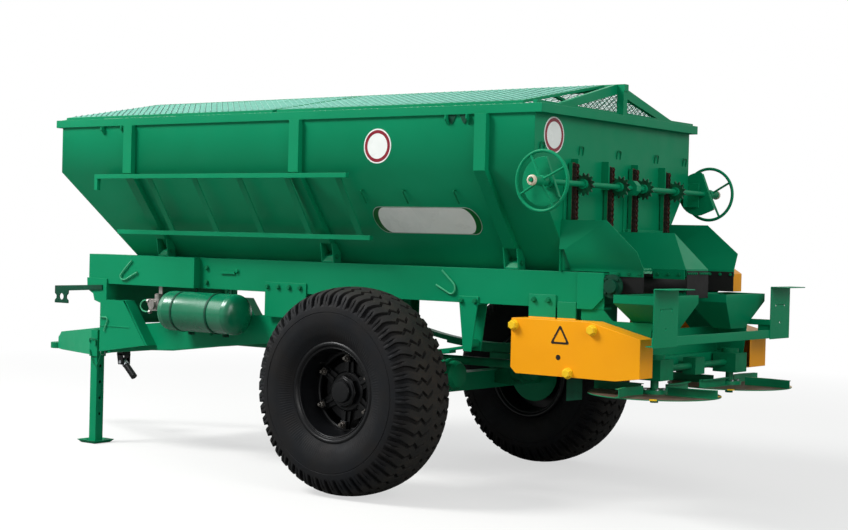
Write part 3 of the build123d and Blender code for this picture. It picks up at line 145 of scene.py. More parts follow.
def emptied(owner: bpy.types.Material | bpy.types.World) -> bpy.types.NodeTree:
    """Switches an owner's nodes on and clears them.

    Args:
        owner: a material or a world.

    Returns:
        The empty node tree.
    """
    owner.use_nodes = True
    owner.node_tree.nodes.clear()
    return owner.node_tree


def ramp(
    tree: bpy.types.NodeTree,
    value: bpy.types.NodeSocket,
    low: float,
    high: float,
    out: tuple[float, float],
) -> bpy.types.NodeSocket:
    """Stretches a value from low..high to out, held at both ends.

    Args:
        tree: the material's node tree.
        value: what is stretched.
        low: value that gives the first end.
        high: value that gives the second end.
        out: the two ends.

    Returns:
        The stretched value's socket.
    """
    node = add(
        tree,
        "ShaderNodeMapRange",
        {"From Min": low, "From Max": high, "To Min": out[0], "To Max": out[1]},
        {"Value": value},
    )
    return node.outputs["Result"]


def blend(
    tree: bpy.types.NodeTree, share: bpy.types.NodeSocket, first: object, second: object
) -> bpy.types.NodeSocket:
    """Mixes two colours, each a hex value or a socket, by a share from 0 to 1.

    Args:
        tree: the material's node tree.
        share: how much of the second.
        first: colour at 0.
        second: colour at 1.

    Returns:
        The mixed colour's socket.
    """
    node = add(tree, "ShaderNodeMix", {"data_type": "RGBA"})
    tree.links.new(share, node.inputs[0])
    for place, colour in ((6, first), (7, second)):
        if isinstance(colour, str):
            node.inputs[place].default_value = linear(colour)
        else:
            tree.links.new(colour, node.inputs[place])
    return node.outputs[2]


@dataclass(frozen=True)
class Finish:
    """A surface of one base colour with patches, fine grain and its own gloss.

    The fields are the material's name, the main and second colours, the patches' size and share, the grain's
    size and height, the two ends of roughness, how metallic it is, its index of refraction, and how strong
    its plain reflection is.
    """

    name: str
    colour: str
    patch: str
    patch_size: float = 0.35
    patch_share: float = 0.5
    grain_size: float = 0.004
    grain_height: float = 0.0002
    rough: tuple[float, float] = (0.3, 0.42)
    metallic: float = 0.0
    ior: float = 1.5
    shine: float = 0.5

    def colour_socket(self, tree: bpy.types.NodeTree, place: bpy.types.NodeSocket) -> bpy.types.NodeSocket:
        """The patchy colour: soft noise mixes the second colour into the first.

        Args:
            tree: the material's node tree.
            place: Object coordinates.

        Returns:
            The colour's socket.
        """
        settings = {"Scale": 1.0 / self.patch_size, "Detail": 4.0}
        wide = add(tree, "ShaderNodeTexNoise", settings, {"Vector": place})
        share = ramp(tree, wide.outputs["Fac"], 0.35, 0.68, (0.0, self.patch_share))
        return blend(tree, share, self.colour, self.patch)

    def height_socket(self, tree: bpy.types.NodeTree, place: bpy.types.NodeSocket) -> bpy.types.NodeSocket:
        """The fine grain's height, one layer of noise.

        Args:
            tree: the material's node tree.
            place: Object coordinates.

        Returns:
            The height's socket.
        """
        settings = {"Scale": 1.0 / self.grain_size, "Detail": 2.0}
        return add(tree, "ShaderNodeTexNoise", settings, {"Vector": place}).outputs["Fac"]

    def build(self) -> bpy.types.Material:
        """Makes the material, or takes it where it already exists.

        Returns:
            The material.
        """
        if self.name in bpy.data.materials:
            return bpy.data.materials[self.name]
        material = bpy.data.materials.new(self.name)
        tree = emptied(material)
        place = add(tree, "ShaderNodeTexCoord").outputs["Object"]
        settings = {"Metallic": self.metallic, "IOR": self.ior, "Specular IOR Level": self.shine}
        shader = add(tree, "ShaderNodeBsdfPrincipled", settings)
        tree.links.new(self.colour_socket(tree, place), shader.inputs["Base Color"])
        soft = add(tree, "ShaderNodeTexNoise", {"Scale": 9.0, "Detail": 5.0}, {"Vector": place})
        gloss = ramp(tree, soft.outputs["Fac"], 0.3, 0.7, self.rough)
        tree.links.new(gloss, shader.inputs["Roughness"])
        settings = {"Strength": 0.6, "Distance": self.grain_height}
        bump = add(tree, "ShaderNodeBump", settings, {"Height": self.height_socket(tree, place)})
        tree.links.new(bump.outputs["Normal"], shader.inputs["Normal"])
        add(tree, "ShaderNodeOutputMaterial", None, {"Surface": shader.outputs["BSDF"]})
        return material


@dataclass(frozen=True)
class ZonedFinish(Finish):
    """A finish with a second pair of colours where the Object coordinates pass a limit along one axis.

    The limit takes over within a few millimetres, and marks where another piece of the same node begins. The
    fields are the second pair of colours, the size of their specks, the axis by its place, the two ends of
    the limit's blend, and those of a second limit where the zone stops again.
    """

    zone: tuple[str, str] = ("#2a1712", "#5a2c1c")
    zone_speck: float = 0.014
    zone_axis: int = 0
    zone_from: float = 0.0
    zone_to: float = 0.001
    zone_end: tuple[float, float] | None = None

    def colour_socket(self, tree: bpy.types.NodeTree, place: bpy.types.NodeSocket) -> bpy.types.NodeSocket:
        """The patchy colour, with the zone's two colours in specks past the limit.

        Args:
            tree: the material's node tree.
            place: Object coordinates.

        Returns:
            The colour's socket.
        """
        base = super().colour_socket(tree, place)
        parts = add(tree, "ShaderNodeSeparateXYZ", None, {"Vector": place})
        share = ramp(tree, parts.outputs[self.zone_axis], self.zone_from, self.zone_to, (0.0, 1.0))
        if self.zone_end:
            until = ramp(tree, parts.outputs[self.zone_axis], *self.zone_end, (1.0, 0.0))
            share = add(tree, "ShaderNodeMath", {"operation": "MULTIPLY"}, {0: share, 1: until}).outputs[0]
        settings = {"Scale": 1.0 / self.zone_speck, "Detail": 3.0}
        specks = add(tree, "ShaderNodeTexNoise", settings, {"Vector": place})
        other = blend(tree, ramp(tree, specks.outputs["Fac"], 0.45, 0.7, (0.0, 1.0)), *self.zone)
        return blend(tree, share, base, other)


@dataclass(frozen=True)
class TyreFinish(Finish):
    """Tyre rubber with fine moulded ribs that point at the axle, in a band above the bead.

    The fields are the axle's place, the ribs' number and the radii of their band, and the dusty tread's two
    colours with the radii between which they take over.
    """

    axle_x: float = 0.0
    axle_z: float = 0.535
    ribs: int = 150
    band: tuple[float, float] = (0.272, 0.325)
    dust: tuple[str, str] = ("#232322", "#2b2926")
    shoulder: tuple[float, float] = (0.485, 0.525)

    def reach(self, tree: bpy.types.NodeTree, place: bpy.types.NodeSocket) -> tuple[object, object]:
        """The place's offset from the axle, without its part along the axle, and that offset's length.

        Args:
            tree: the material's node tree.
            place: Object coordinates.

        Returns:
            The offset's socket and the length's socket.
        """
        settings = {"operation": "SUBTRACT", 1: (self.axle_x, 0.0, self.axle_z)}
        shift = add(tree, "ShaderNodeVectorMath", settings, {0: place})
        settings = {"operation": "MULTIPLY", 1: (1.0, 0.0, 1.0)}
        flat = add(tree, "ShaderNodeVectorMath", settings, {0: shift.outputs[0]})
        far = add(tree, "ShaderNodeVectorMath", {"operation": "LENGTH"}, {0: flat.outputs[0]})
        return flat.outputs[0], far.outputs["Value"]

    def colour_socket(self, tree: bpy.types.NodeTree, place: bpy.types.NodeSocket) -> bpy.types.NodeSocket:
        """Dark flanks, and a dusty tread where the distance from the axle passes the shoulder.

        Args:
            tree: the material's node tree.
            place: Object coordinates.

        Returns:
            The colour's socket.
        """
        flank = super().colour_socket(tree, place)
        _, far = self.reach(tree, place)
        specks = add(tree, "ShaderNodeTexNoise", {"Scale": 14.0, "Detail": 4.0}, {"Vector": place})
        dusty = blend(tree, ramp(tree, specks.outputs["Fac"], 0.4, 0.65, (0.0, 1.0)), *self.dust)
        return blend(tree, ramp(tree, far, *self.shoulder, (0.0, 1.0)), flank, dusty)

    def height_socket(self, tree: bpy.types.NodeTree, place: bpy.types.NodeSocket) -> bpy.types.NodeSocket:
        """Grain, and inside the band the sine of the turn about the axle times the number of ribs.

        Args:
            tree: the material's node tree.
            place: Object coordinates.

        Returns:
            The height's socket.
        """
        grain = super().height_socket(tree, place)
        flat, reach = self.reach(tree, place)
        parts = add(tree, "ShaderNodeSeparateXYZ", None, {"Vector": flat})
        links = {0: parts.outputs["Z"], 1: parts.outputs["X"]}
        turn = add(tree, "ShaderNodeMath", {"operation": "ARCTAN2"}, links)
        settings = {"operation": "MULTIPLY", 1: float(self.ribs)}
        count = add(tree, "ShaderNodeMath", settings, {0: turn.outputs[0]})
        wave = add(tree, "ShaderNodeMath", {"operation": "SINE"}, {0: count.outputs[0]})
        inside = ramp(tree, reach, self.band[0] - 0.004, self.band[0], (0.0, 1.0))
        outside = ramp(tree, reach, self.band[1], self.band[1] + 0.02, (1.0, 0.0))
        mask = add(tree, "ShaderNodeMath", {"operation": "MULTIPLY"}, {0: inside, 1: outside})
        links = {0: mask.outputs[0], 1: wave.outputs[0]}
        high = add(tree, "ShaderNodeMath", {"operation": "MULTIPLY"}, links)
        return add(tree, "ShaderNodeMath", {"operation": "ADD"}, {0: grain, 1: high.outputs[0]}).outputs[0]


# Alkyd machine enamel, sprayed on sheet steel: smooth with a faint orange peel, deep and only softly glossy.
GREEN = Finish(
    "sprayed_green_enamel", "#047d53", "#0a885d", 0.6, 0.7, 0.006, 0.00015, (0.34, 0.46), shine=0.1
)
# The same enamel on castings and folded feet, a little duller from dust.
GREEN_CAST = Finish(
    "green_enamel_on_castings", "#05754c", "#0a5c3c", 0.12, 0.8, 0.006, 0.0004, (0.42, 0.58), shine=0.1
)
# A darker green enamel for brackets, straps, shields and bearings; on the rim's two pointed plates the
# darkness is painted shadow.
DARK_GREEN = Finish(
    "dark_green_enamel_and_painted_shadow", "#044530", "#0a3324", 0.05, 0.8, 0.004, 0.0003, (0.45, 0.6), shine=0.15
)
# Tank enamel, smoother and glossier than the frame's, and a deeper green whose extra darkness is painted
# shade.
TANK_GREEN = Finish(
    "sprayed_tank_enamel", "#036645", "#056d4b", 0.03, 0.7, 0.004, 0.00008, (0.20, 0.30), shine=0.45
)
# Yellow enamel on the chain guards, brushed over once and even. Their carriers above are the frame's green.
YELLOW = ZonedFinish(
    "yellow_enamel_on_guards", "#f2a20c", "#ea9706", 0.3, 0.6, 0.006, 0.00015, (0.34, 0.46), shine=0.2,
    zone=("#047d53", "#0a885d"), zone_speck=0.4, zone_axis=2, zone_from=0.949, zone_to=0.951,
)
# The same yellow on the upper guard, which has no green carrier.
YELLOW_PLAIN = Finish(
    "yellow_enamel", "#f2a20c", "#ea9706", 0.3, 0.6, 0.006, 0.00015, (0.34, 0.46), shine=0.2
)
# A paler and lemon yellow, sprayed on bolt heads and edge marks.
YELLOW_BOLT = Finish(
    "pale_yellow_bolt_enamel", "#eec322", "#e6b418", 0.02, 0.6, 0.003, 0.0001, (0.3, 0.4), shine=0.25
)
# Black chassis enamel on the wheels: satin, with a film of road dust.
BLACK = Finish("black_wheel_enamel", "#07080a", "#0e0f11", 0.09, 0.8, 0.004, 0.0002, (0.3, 0.45), shine=0.22)
# Vulcanised tyre rubber: near black and matt, browner where dust has rubbed in.
TYRE = TyreFinish(
    "vulcanised_tyre_rubber", "#101215", "#161413", 0.13, 0.8, 0.002, 0.0006, (0.6, 0.78), shine=0.14
)
# Belt and flap rubber: a black sheet with a dull skin.
RUBBER = Finish("rubber_sheet", "#131313", "#1c1a19", 0.2, 0.7, 0.003, 0.0003, (0.6, 0.75), shine=0.25)
# Oiled roller-chain steel left outdoors: dark brown with rust.
CHAIN = Finish("rusty_chain_steel", "#17110f", "#35221a", 0.012, 0.9, 0.003, 0.0004, (0.5, 0.75), shine=0.3)
# Zinc-plated fasteners: bright and slightly blue.
ZINC = Finish("zinc_plated_steel", "#b9bcc0", "#9da1a6", 0.03, 0.7, 0.002, 0.0001, (0.28, 0.4), 1.0)
# Cream enamel on the handwheels' end rings.
CREAM = Finish("cream_ring_enamel", "#cfc9b4", "#b9a98c", 0.01, 0.8, 0.002, 0.0002, (0.35, 0.5), shine=0.3)
# Sand-cast aluminium of the brake valve: grey and grainy.
CAST = Finish("sand_cast_aluminium", "#9b9894", "#7f7b76", 0.03, 0.8, 0.002, 0.0005, (0.42, 0.6), 0.85)
# Bare drive steel, turned and handled.
STEEL = Finish("turned_drive_steel", "#6d6a66", "#4d453f", 0.05, 0.8, 0.002, 0.0002, (0.32, 0.5), 0.9)
# Painted steel net of the end arches: a darker and duller green than the frame's, the darkness painted shade.
NET_GREEN = Finish(
    "green_enamelled_net", "#0a4a34", "#0d553d", 0.04, 0.8, 0.003, 0.0001, (0.4, 0.5), shine=0.3
)
# Painted steel wire of the cover panels: a pale and dull green all over, the paleness a painted reflection of
# the sky.
WIRE = Finish(
    "pale_green_painted_wire", "#6aa896", "#86bfae", 0.05, 0.7, 0.004, 0.0002, (0.45, 0.6), shine=0.2
)
# Plain vinyl film on signs and plates: even and smooth, white for the grounds.
FILM_WHITE = Finish(
    "white_vinyl_film", "#e4e8e4", "#dadfdb", 0.05, 0.5, 0.003, 0.00004, (0.24, 0.32), shine=0.3
)
# The same film in deep red, for the signs' bands.
FILM_RED = replace(FILM_WHITE, name="deep_red_vinyl_film", colour="#7d1626", patch="#8a1c2c")
# The same film in leaf green, a little duller, for the plate's two ends.
FILM_GREEN = replace(
    FILM_WHITE, name="leaf_green_vinyl_film", colour="#0b5a26", patch="#0e642c", rough=(0.26, 0.34), shine=0.2
)
# The same film in pale grey, for the plate's edge.
FILM_GREY = Finish(
    "pale_grey_vinyl_film", "#b9c5c0", "#aebbb5", 0.06, 0.6, 0.003, 0.00004, (0.26, 0.34), shine=0.3
)
# The same film in black, duller again, for the triangle, and for the grease hole as a black disc of painted
# shade.
FILM_BLACK = replace(
    FILM_WHITE, name="black_vinyl_film", colour="#1a1612", patch="#221d17", rough=(0.3, 0.4)
)
# Light green touch-up enamel on hooks and small rods.
HOOK_GREEN = Finish(
    "light_green_hook_enamel", "#3fa377", "#338f66", 0.04, 0.6, 0.004, 0.0001, (0.3, 0.4), shine=0.3
)
# Green sprockets whose teeth have turned dark with grease.
SPROCKET = Finish(
    "greasy_green_sprocket", "#0a5c3b", "#1d1a17", 0.03, 0.9, 0.003, 0.0003, (0.35, 0.55), shine=0.25
)
# The gates' green enamel, with rusty chain steel where the chains stand behind the plate.
GATE = ZonedFinish(
    "green_gate_with_rusty_chains", "#047d53", "#0a885d", 0.6, 0.6, 0.006, 0.00015, (0.4, 0.55), shine=0.2
)
# The discs' green enamel, worn to brown steel on the top face where the material slides.
SPINNER = ZonedFinish(
    "green_disc_worn_on_top", "#0a7d52", "#086b46", 0.1, 0.8, 0.006, 0.0003, (0.34, 0.5), shine=0.25,
    zone=("#54433a", "#6b5a4c"), zone_speck=0.05, zone_axis=2, zone_from=0.6044, zone_to=0.6048,
    zone_end=(0.6055, 0.6060),
)

# Finishes by the start of a CAD node's name, where it isn't the plain green enamel.
NODE_FINISHES: tuple[tuple[str, Finish], ...] = (
    ("hub_", BLACK),
    ("chain_guard", YELLOW),
    ("upper_guard", YELLOW_PLAIN),
    ("rubber_flaps", RUBBER),
    ("conveyor", RUBBER),
    ("brake_valve", CAST),
    ("drive_shafts", GREEN_CAST),
    ("drive_gearbox", GREEN_CAST),
    ("disc_gearboxes", GREEN_CAST),
    ("hitch_eye", GREEN_CAST),
    ("hose_bracket", DARK_GREEN),
    ("spinner", SPINNER),
)


# ---------------------------------------------------------------- surfaces


@dataclass
class Surface:
    """Points and faces of one surface, in metres in the shared frame."""

    points: np.ndarray
    faces: list[list[int]]


def grid(points: np.ndarray, wrap_u: bool, wrap_v: bool) -> Surface:
    """Quads over a grid of points, P(u, v), each joined to its neighbours in u and v.

    Args:
        points: an array of u by v by three.
        wrap_u: the last row joins the first.
        wrap_v: the last column joins the first.

    Returns:
        The surface.
    """
    count_u, count_v, _ = points.shape
    index = np.arange(count_u * count_v).reshape(count_u, count_v)
    if wrap_u:
        index = np.concatenate([index, index[:1]], axis=0)
    if wrap_v:
        index = np.concatenate([index, index[:, :1]], axis=1)
    quads = np.stack([index[:-1, :-1], index[1:, :-1], index[1:, 1:], index[:-1, 1:]], axis=-1)
    return Surface(points.reshape(-1, 3), quads.reshape(-1, 4).tolist())


def turned(
    profile: Sequence[tuple[float, float]],
    centre: Sequence[float],
    along: Along,
    steps: int = 48,
    closed: bool = False,
    phase: float = 0.0,
) -> Surface:
    """A profile turned about an axis: P = centre + h·axis + r·(cos t·side + sin t·third).

    Args:
        profile: (radius, height) pairs.
        centre: a point on the axis.
        along: the axis.
        steps: parts of the full turn; six gives a hexagon.
        closed: the profile's last point joins its first.
        phase: turn of the first step, in radians.

    Returns:
        The surface.
    """
    axis, side, third = along.frame()
    radius, height = np.array(profile, float).T
    angle = phase + np.arange(steps) * TAU / steps
    ring = np.cos(angle)[:, None] * side + np.sin(angle)[:, None] * third
    line = np.asarray(centre, float) + height[:, None] * axis
    points = line[None] + radius[None, :, None] * ring[:, None, :]
    return grid(points, True, closed)


def pin(radius: float, length: float, seat: Sequence[float], along: Along, steps: int = 24) -> Surface:
    """A plain round pin that stands on its seat: the profile (0, 0), (r, 0), (r, h), (0, h) turned.

    Args:
        radius: the pin's radius.
        length: how far it stands out, negative for the other way.
        seat: middle of its foot.
        along: its axis.
        steps: parts of the full turn.

    Returns:
        The surface.
    """
    return turned([(0.0, 0.0), (radius, 0.0), (radius, length), (0.0, length)], seat, along, steps)


def collar(
    radii: tuple[float, float],
    ends: tuple[float, float],
    centre: Sequence[float],
    along: Along,
    steps: int = 40,
    phase: float = 0.0,
) -> Surface:
    """A ring of square section: the rectangle of its two radii and its two ends, turned.

    Args:
        radii: the inner and the outer radius.
        ends: where it starts and stops along the axis.
        centre: a point on the axis.
        along: the axis.
        steps: parts of the full turn.
        phase: turn of the first step, in radians.

    Returns:
        The surface.
    """
    (inner, outer), (low, high) = radii, ends
    profile = [(inner, low), (outer, low), (outer, high), (inner, high)]
    return turned(profile, centre, along, steps, True, phase)


def hoop(
    centre: Sequence[float], along: Along, radius: float, thick: float, steps: int, sides: int
) -> Surface:
    """A ring of round bar: P = centre + (R + r·cos s)·(cos t·side + sin t·third) + r·sin s·axis.

    Args:
        centre: the ring's middle.
        along: the axis that it lies round.
        radius: radius of the bar's middle line.
        thick: the bar's own radius.
        steps: parts of the full turn.
        sides: faces round the bar.

    Returns:
        The surface.
    """
    axis, side, third = along.frame()
    turn = (np.arange(steps) * TAU / steps)[:, None, None]
    angle = (np.arange(sides) * TAU / sides)[None, :, None]
    way = np.cos(turn) * side + np.sin(turn) * third
    points = np.asarray(centre, float) + (radius + thick * np.cos(angle)) * way + thick * np.sin(angle) * axis
    return grid(points, True, True)


def walled(low: np.ndarray, high: np.ndarray) -> Surface:
    """Two loops of as many points each, joined by a wall and closed by a face at each end.

    Args:
        low: the first loop's points.
        high: the second loop's points.

    Returns:
        The surface.
    """
    shape = grid(np.stack([low, high]), False, True)
    count = len(low)
    shape.faces += [list(range(count))[::-1], list(range(count, 2 * count))]
    return shape


def plate(outline: Sequence[tuple[float, float]], along: Along, low: float, high: float) -> Surface:
    """A flat outline carried from low to high along an axis, closed by its own outline at both ends.

    Args:
        outline: pairs in the two directions after the axis, in order.
        along: the axis.
        low: where it starts.
        high: where it ends.

    Returns:
        The surface.
    """
    axis, side, third = along.frame()
    flat = np.array(outline, float)
    ring = flat[:, :1] * side + flat[:, 1:] * third
    return walled(ring + low * axis, ring + high * axis)


def block(
    along: Along, ends: tuple[float, float], second: tuple[float, float], third: tuple[float, float]
) -> Surface:
    """A square-edged block between two places in each direction.

    Args:
        along: its first direction.
        ends: where it starts and stops in that direction.
        second: the same in the next direction.
        third: the same in the last one.

    Returns:
        The surface.
    """
    (a, b), (c, d) = second, third
    return plate([(a, c), (b, c), (b, d), (a, d)], along, *ends)


def rod(path: Sequence[Sequence[float]], radius: float, normal: Sequence[float], sides: int = 10) -> Surface:
    """A round bar along a path that lies in one plane: P = path + r·(cos t·normal + sin t·across).

    Args:
        path: points of the bar's middle line.
        radius: the bar's radius.
        normal: the plane's normal.
        sides: faces round the bar.

    Returns:
        The surface, closed by a flat end at each side.
    """
    line = np.asarray(path, float)
    up = np.asarray(normal, float)
    run = np.gradient(line, axis=0)
    run /= np.linalg.norm(run, axis=1, keepdims=True)
    across = np.cross(run, up)
    angle = np.arange(sides) * TAU / sides
    ring = np.cos(angle)[None, :, None] * up + np.sin(angle)[None, :, None] * across[:, None, :]
    shape = grid(line[:, None, :] + radius * ring, False, True)
    last = len(line) * sides
    shape.faces += [list(range(sides)), list(range(last - sides, last))[::-1]]
    return shape


def rounded(corners: Sequence[Sequence[float]], radius: float, steps: int = 6) -> np.ndarray:
    """A path with its corners rounded by quadratic curves that start a radius before each corner.

    Args:
        corners: the path's points.
        radius: how far from a corner its curve starts.
        steps: points along each curve.

    Returns:
        The new points.
    """
    points = np.asarray(corners, float)
    share = np.linspace(0.0, 1.0, steps)[:, None]
    pieces = [points[:1]]
    for before, corner, after in zip(points[:-2], points[1:-1], points[2:]):
        first = corner + (before - corner) * min(0.5, radius / np.linalg.norm(before - corner))
        last = corner + (after - corner) * min(0.5, radius / np.linalg.norm(after - corner))
        pieces.append((1 - share) ** 2 * first + 2 * share * (1 - share) * corner + share**2 * last)
    return np.concatenate([*pieces, points[-1:]])


def bent_bar(
    corners: Sequence[Sequence[float]], bend: float, radius: float, along: Along, sides: int = 8
) -> Surface:
    """A round bar with rounded corners, in a plane that an axis stands square on.

    Args:
        corners: the bar's corners.
        bend: how far from a corner its curve starts.
        radius: the bar's radius.
        along: the axis.
        sides: faces round the bar.

    Returns:
        The surface.
    """
    return rod(rounded(corners, bend), radius, along.value, sides)


def hex_bolt(seat: Sequence[float], along: Along, outward: float, across: float = 0.024) -> Surface:
    """A hexagon head on its washer, turned in six steps with a chamfered top.

    Args:
        seat: middle of the face that the washer lies on.
        along: the bolt's axis.
        outward: 1 or -1, the way the head faces.
        across: width over the flats.

    Returns:
        The surface.
    """
    half = across / math.sqrt(3)
    high = across * 0.65 * outward
    rise = across * 0.12 * outward
    head = turned([(0, 0), (half, 0), (half, high * 0.88), (half * 0.84, high), (0, high)], seat, along, 6)
    return merged([head, pin(half * 1.2, rise, seat, along, 16)])


def merged(shapes: Sequence[Surface]) -> Surface:
    """Several surfaces as one, their faces' numbers moved on.

    Args:
        shapes: the surfaces.

    Returns:
        The one surface.
    """
    points: list[np.ndarray] = []
    faces: list[list[int]] = []
    start = 0
    for shape in shapes:
        points.append(shape.points)
        faces += [[start + corner for corner in face] for face in shape.faces]
        start += len(shape.points)
    return Surface(np.concatenate(points), faces)


def both_sides(shapes: Sequence[Surface]) -> Surface:
    """The left side's surfaces and their mirrors on the right side, where Y changes sign.

    Args:
        shapes: the left side's surfaces.

    Returns:
        Both sides as one surface.
    """
    left = merged(shapes)
    right = Surface(left.points * np.array([1.0, -1.0, 1.0]), [face[::-1] for face in left.faces])
    return merged([left, right])


def placed(name: str, data: bpy.types.ID) -> bpy.types.Object:
    """Puts a new object into the scene.

    Args:
        name: the object's name.
        data: what it holds.

    Returns:
        The object.
    """
    thing = bpy.data.objects.new(name, data)
    bpy.context.scene.collection.objects.link(thing)
    return thing


def dressed(
    name: str,
    shape: Surface,
    finish: Finish,
    body: str = "chassis",
    angle: float = 35.0,
    bevel: float = 0.0,
) -> bpy.types.Object:
    """Puts a surface into the scene as a finished piece that rides on a body.

    Args:
        name: the piece's name.
        shape: its surface.
        finish: its material.
        body: the body that carries it.
        angle: edges sharper than this stay sharp, in degrees.
        bevel: width of the rounded edges, or 0 for none.

    Returns:
        The new object.
    """
    mesh = bpy.data.meshes.new(name)
    mesh.from_pydata(shape.points.tolist(), [], shape.faces)
    work = bmesh.new()
    work.from_mesh(mesh)
    bmesh.ops.remove_doubles(work, verts=work.verts, dist=1e-6)
    bmesh.ops.recalc_face_normals(work, faces=work.faces)
    work.to_mesh(mesh)
    work.free()
    mesh.polygons.foreach_set("use_smooth", np.ones(len(mesh.polygons), bool))
    mesh.set_sharp_from_angle(angle=math.radians(angle))
    piece = placed(name, mesh)
    mesh.materials.append(finish.build())
    if bevel:
        edge = piece.modifiers.new("rounded edges", "BEVEL")
        edge.width, edge.segments, edge.limit_method = bevel, 2, "ANGLE"
        edge.harden_normals = True
    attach(piece, body)
    log.info("piece %s: %d faces on %s", name, len(mesh.polygons), body)
    return piece


# ---------------------------------------------------------------- places of the machine

# Half width and height of the sloping side's foot, and the height of the bend under the upright wall.
SLOPE_FOOT, SLOPE_BASE, SLOPE_BEND = 0.413, 1.180, 1.675
# The slope's ribs, as distances from the axle along the machine.
RIB_STATIONS = (1.830, 0.524, -0.700)
# Half width over the rails.
RAIL_FACE = 0.515


def middle(name: str) -> tuple[float, float, float]:
    """The middle of a CAD node's box."""
    low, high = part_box(name)
    return (low.x + high.x) / 2, (low.y + high.y) / 2, (low.z + high.z) / 2


def axle_x() -> float:
    """The axle's place along the machine."""
    return middle("hub_left")[0]


def slope_lean() -> float:
    """How far the sloping side moves outwards for each metre of height."""
    return (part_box("hopper")[1].y - SLOPE_FOOT) / (SLOPE_BEND - SLOPE_BASE)


def slope_y(z: float) -> float:
    """Half width of the sloping side at a height."""
    return SLOPE_FOOT + slope_lean() * (z - SLOPE_BASE)


# ---------------------------------------------------------------- running gear


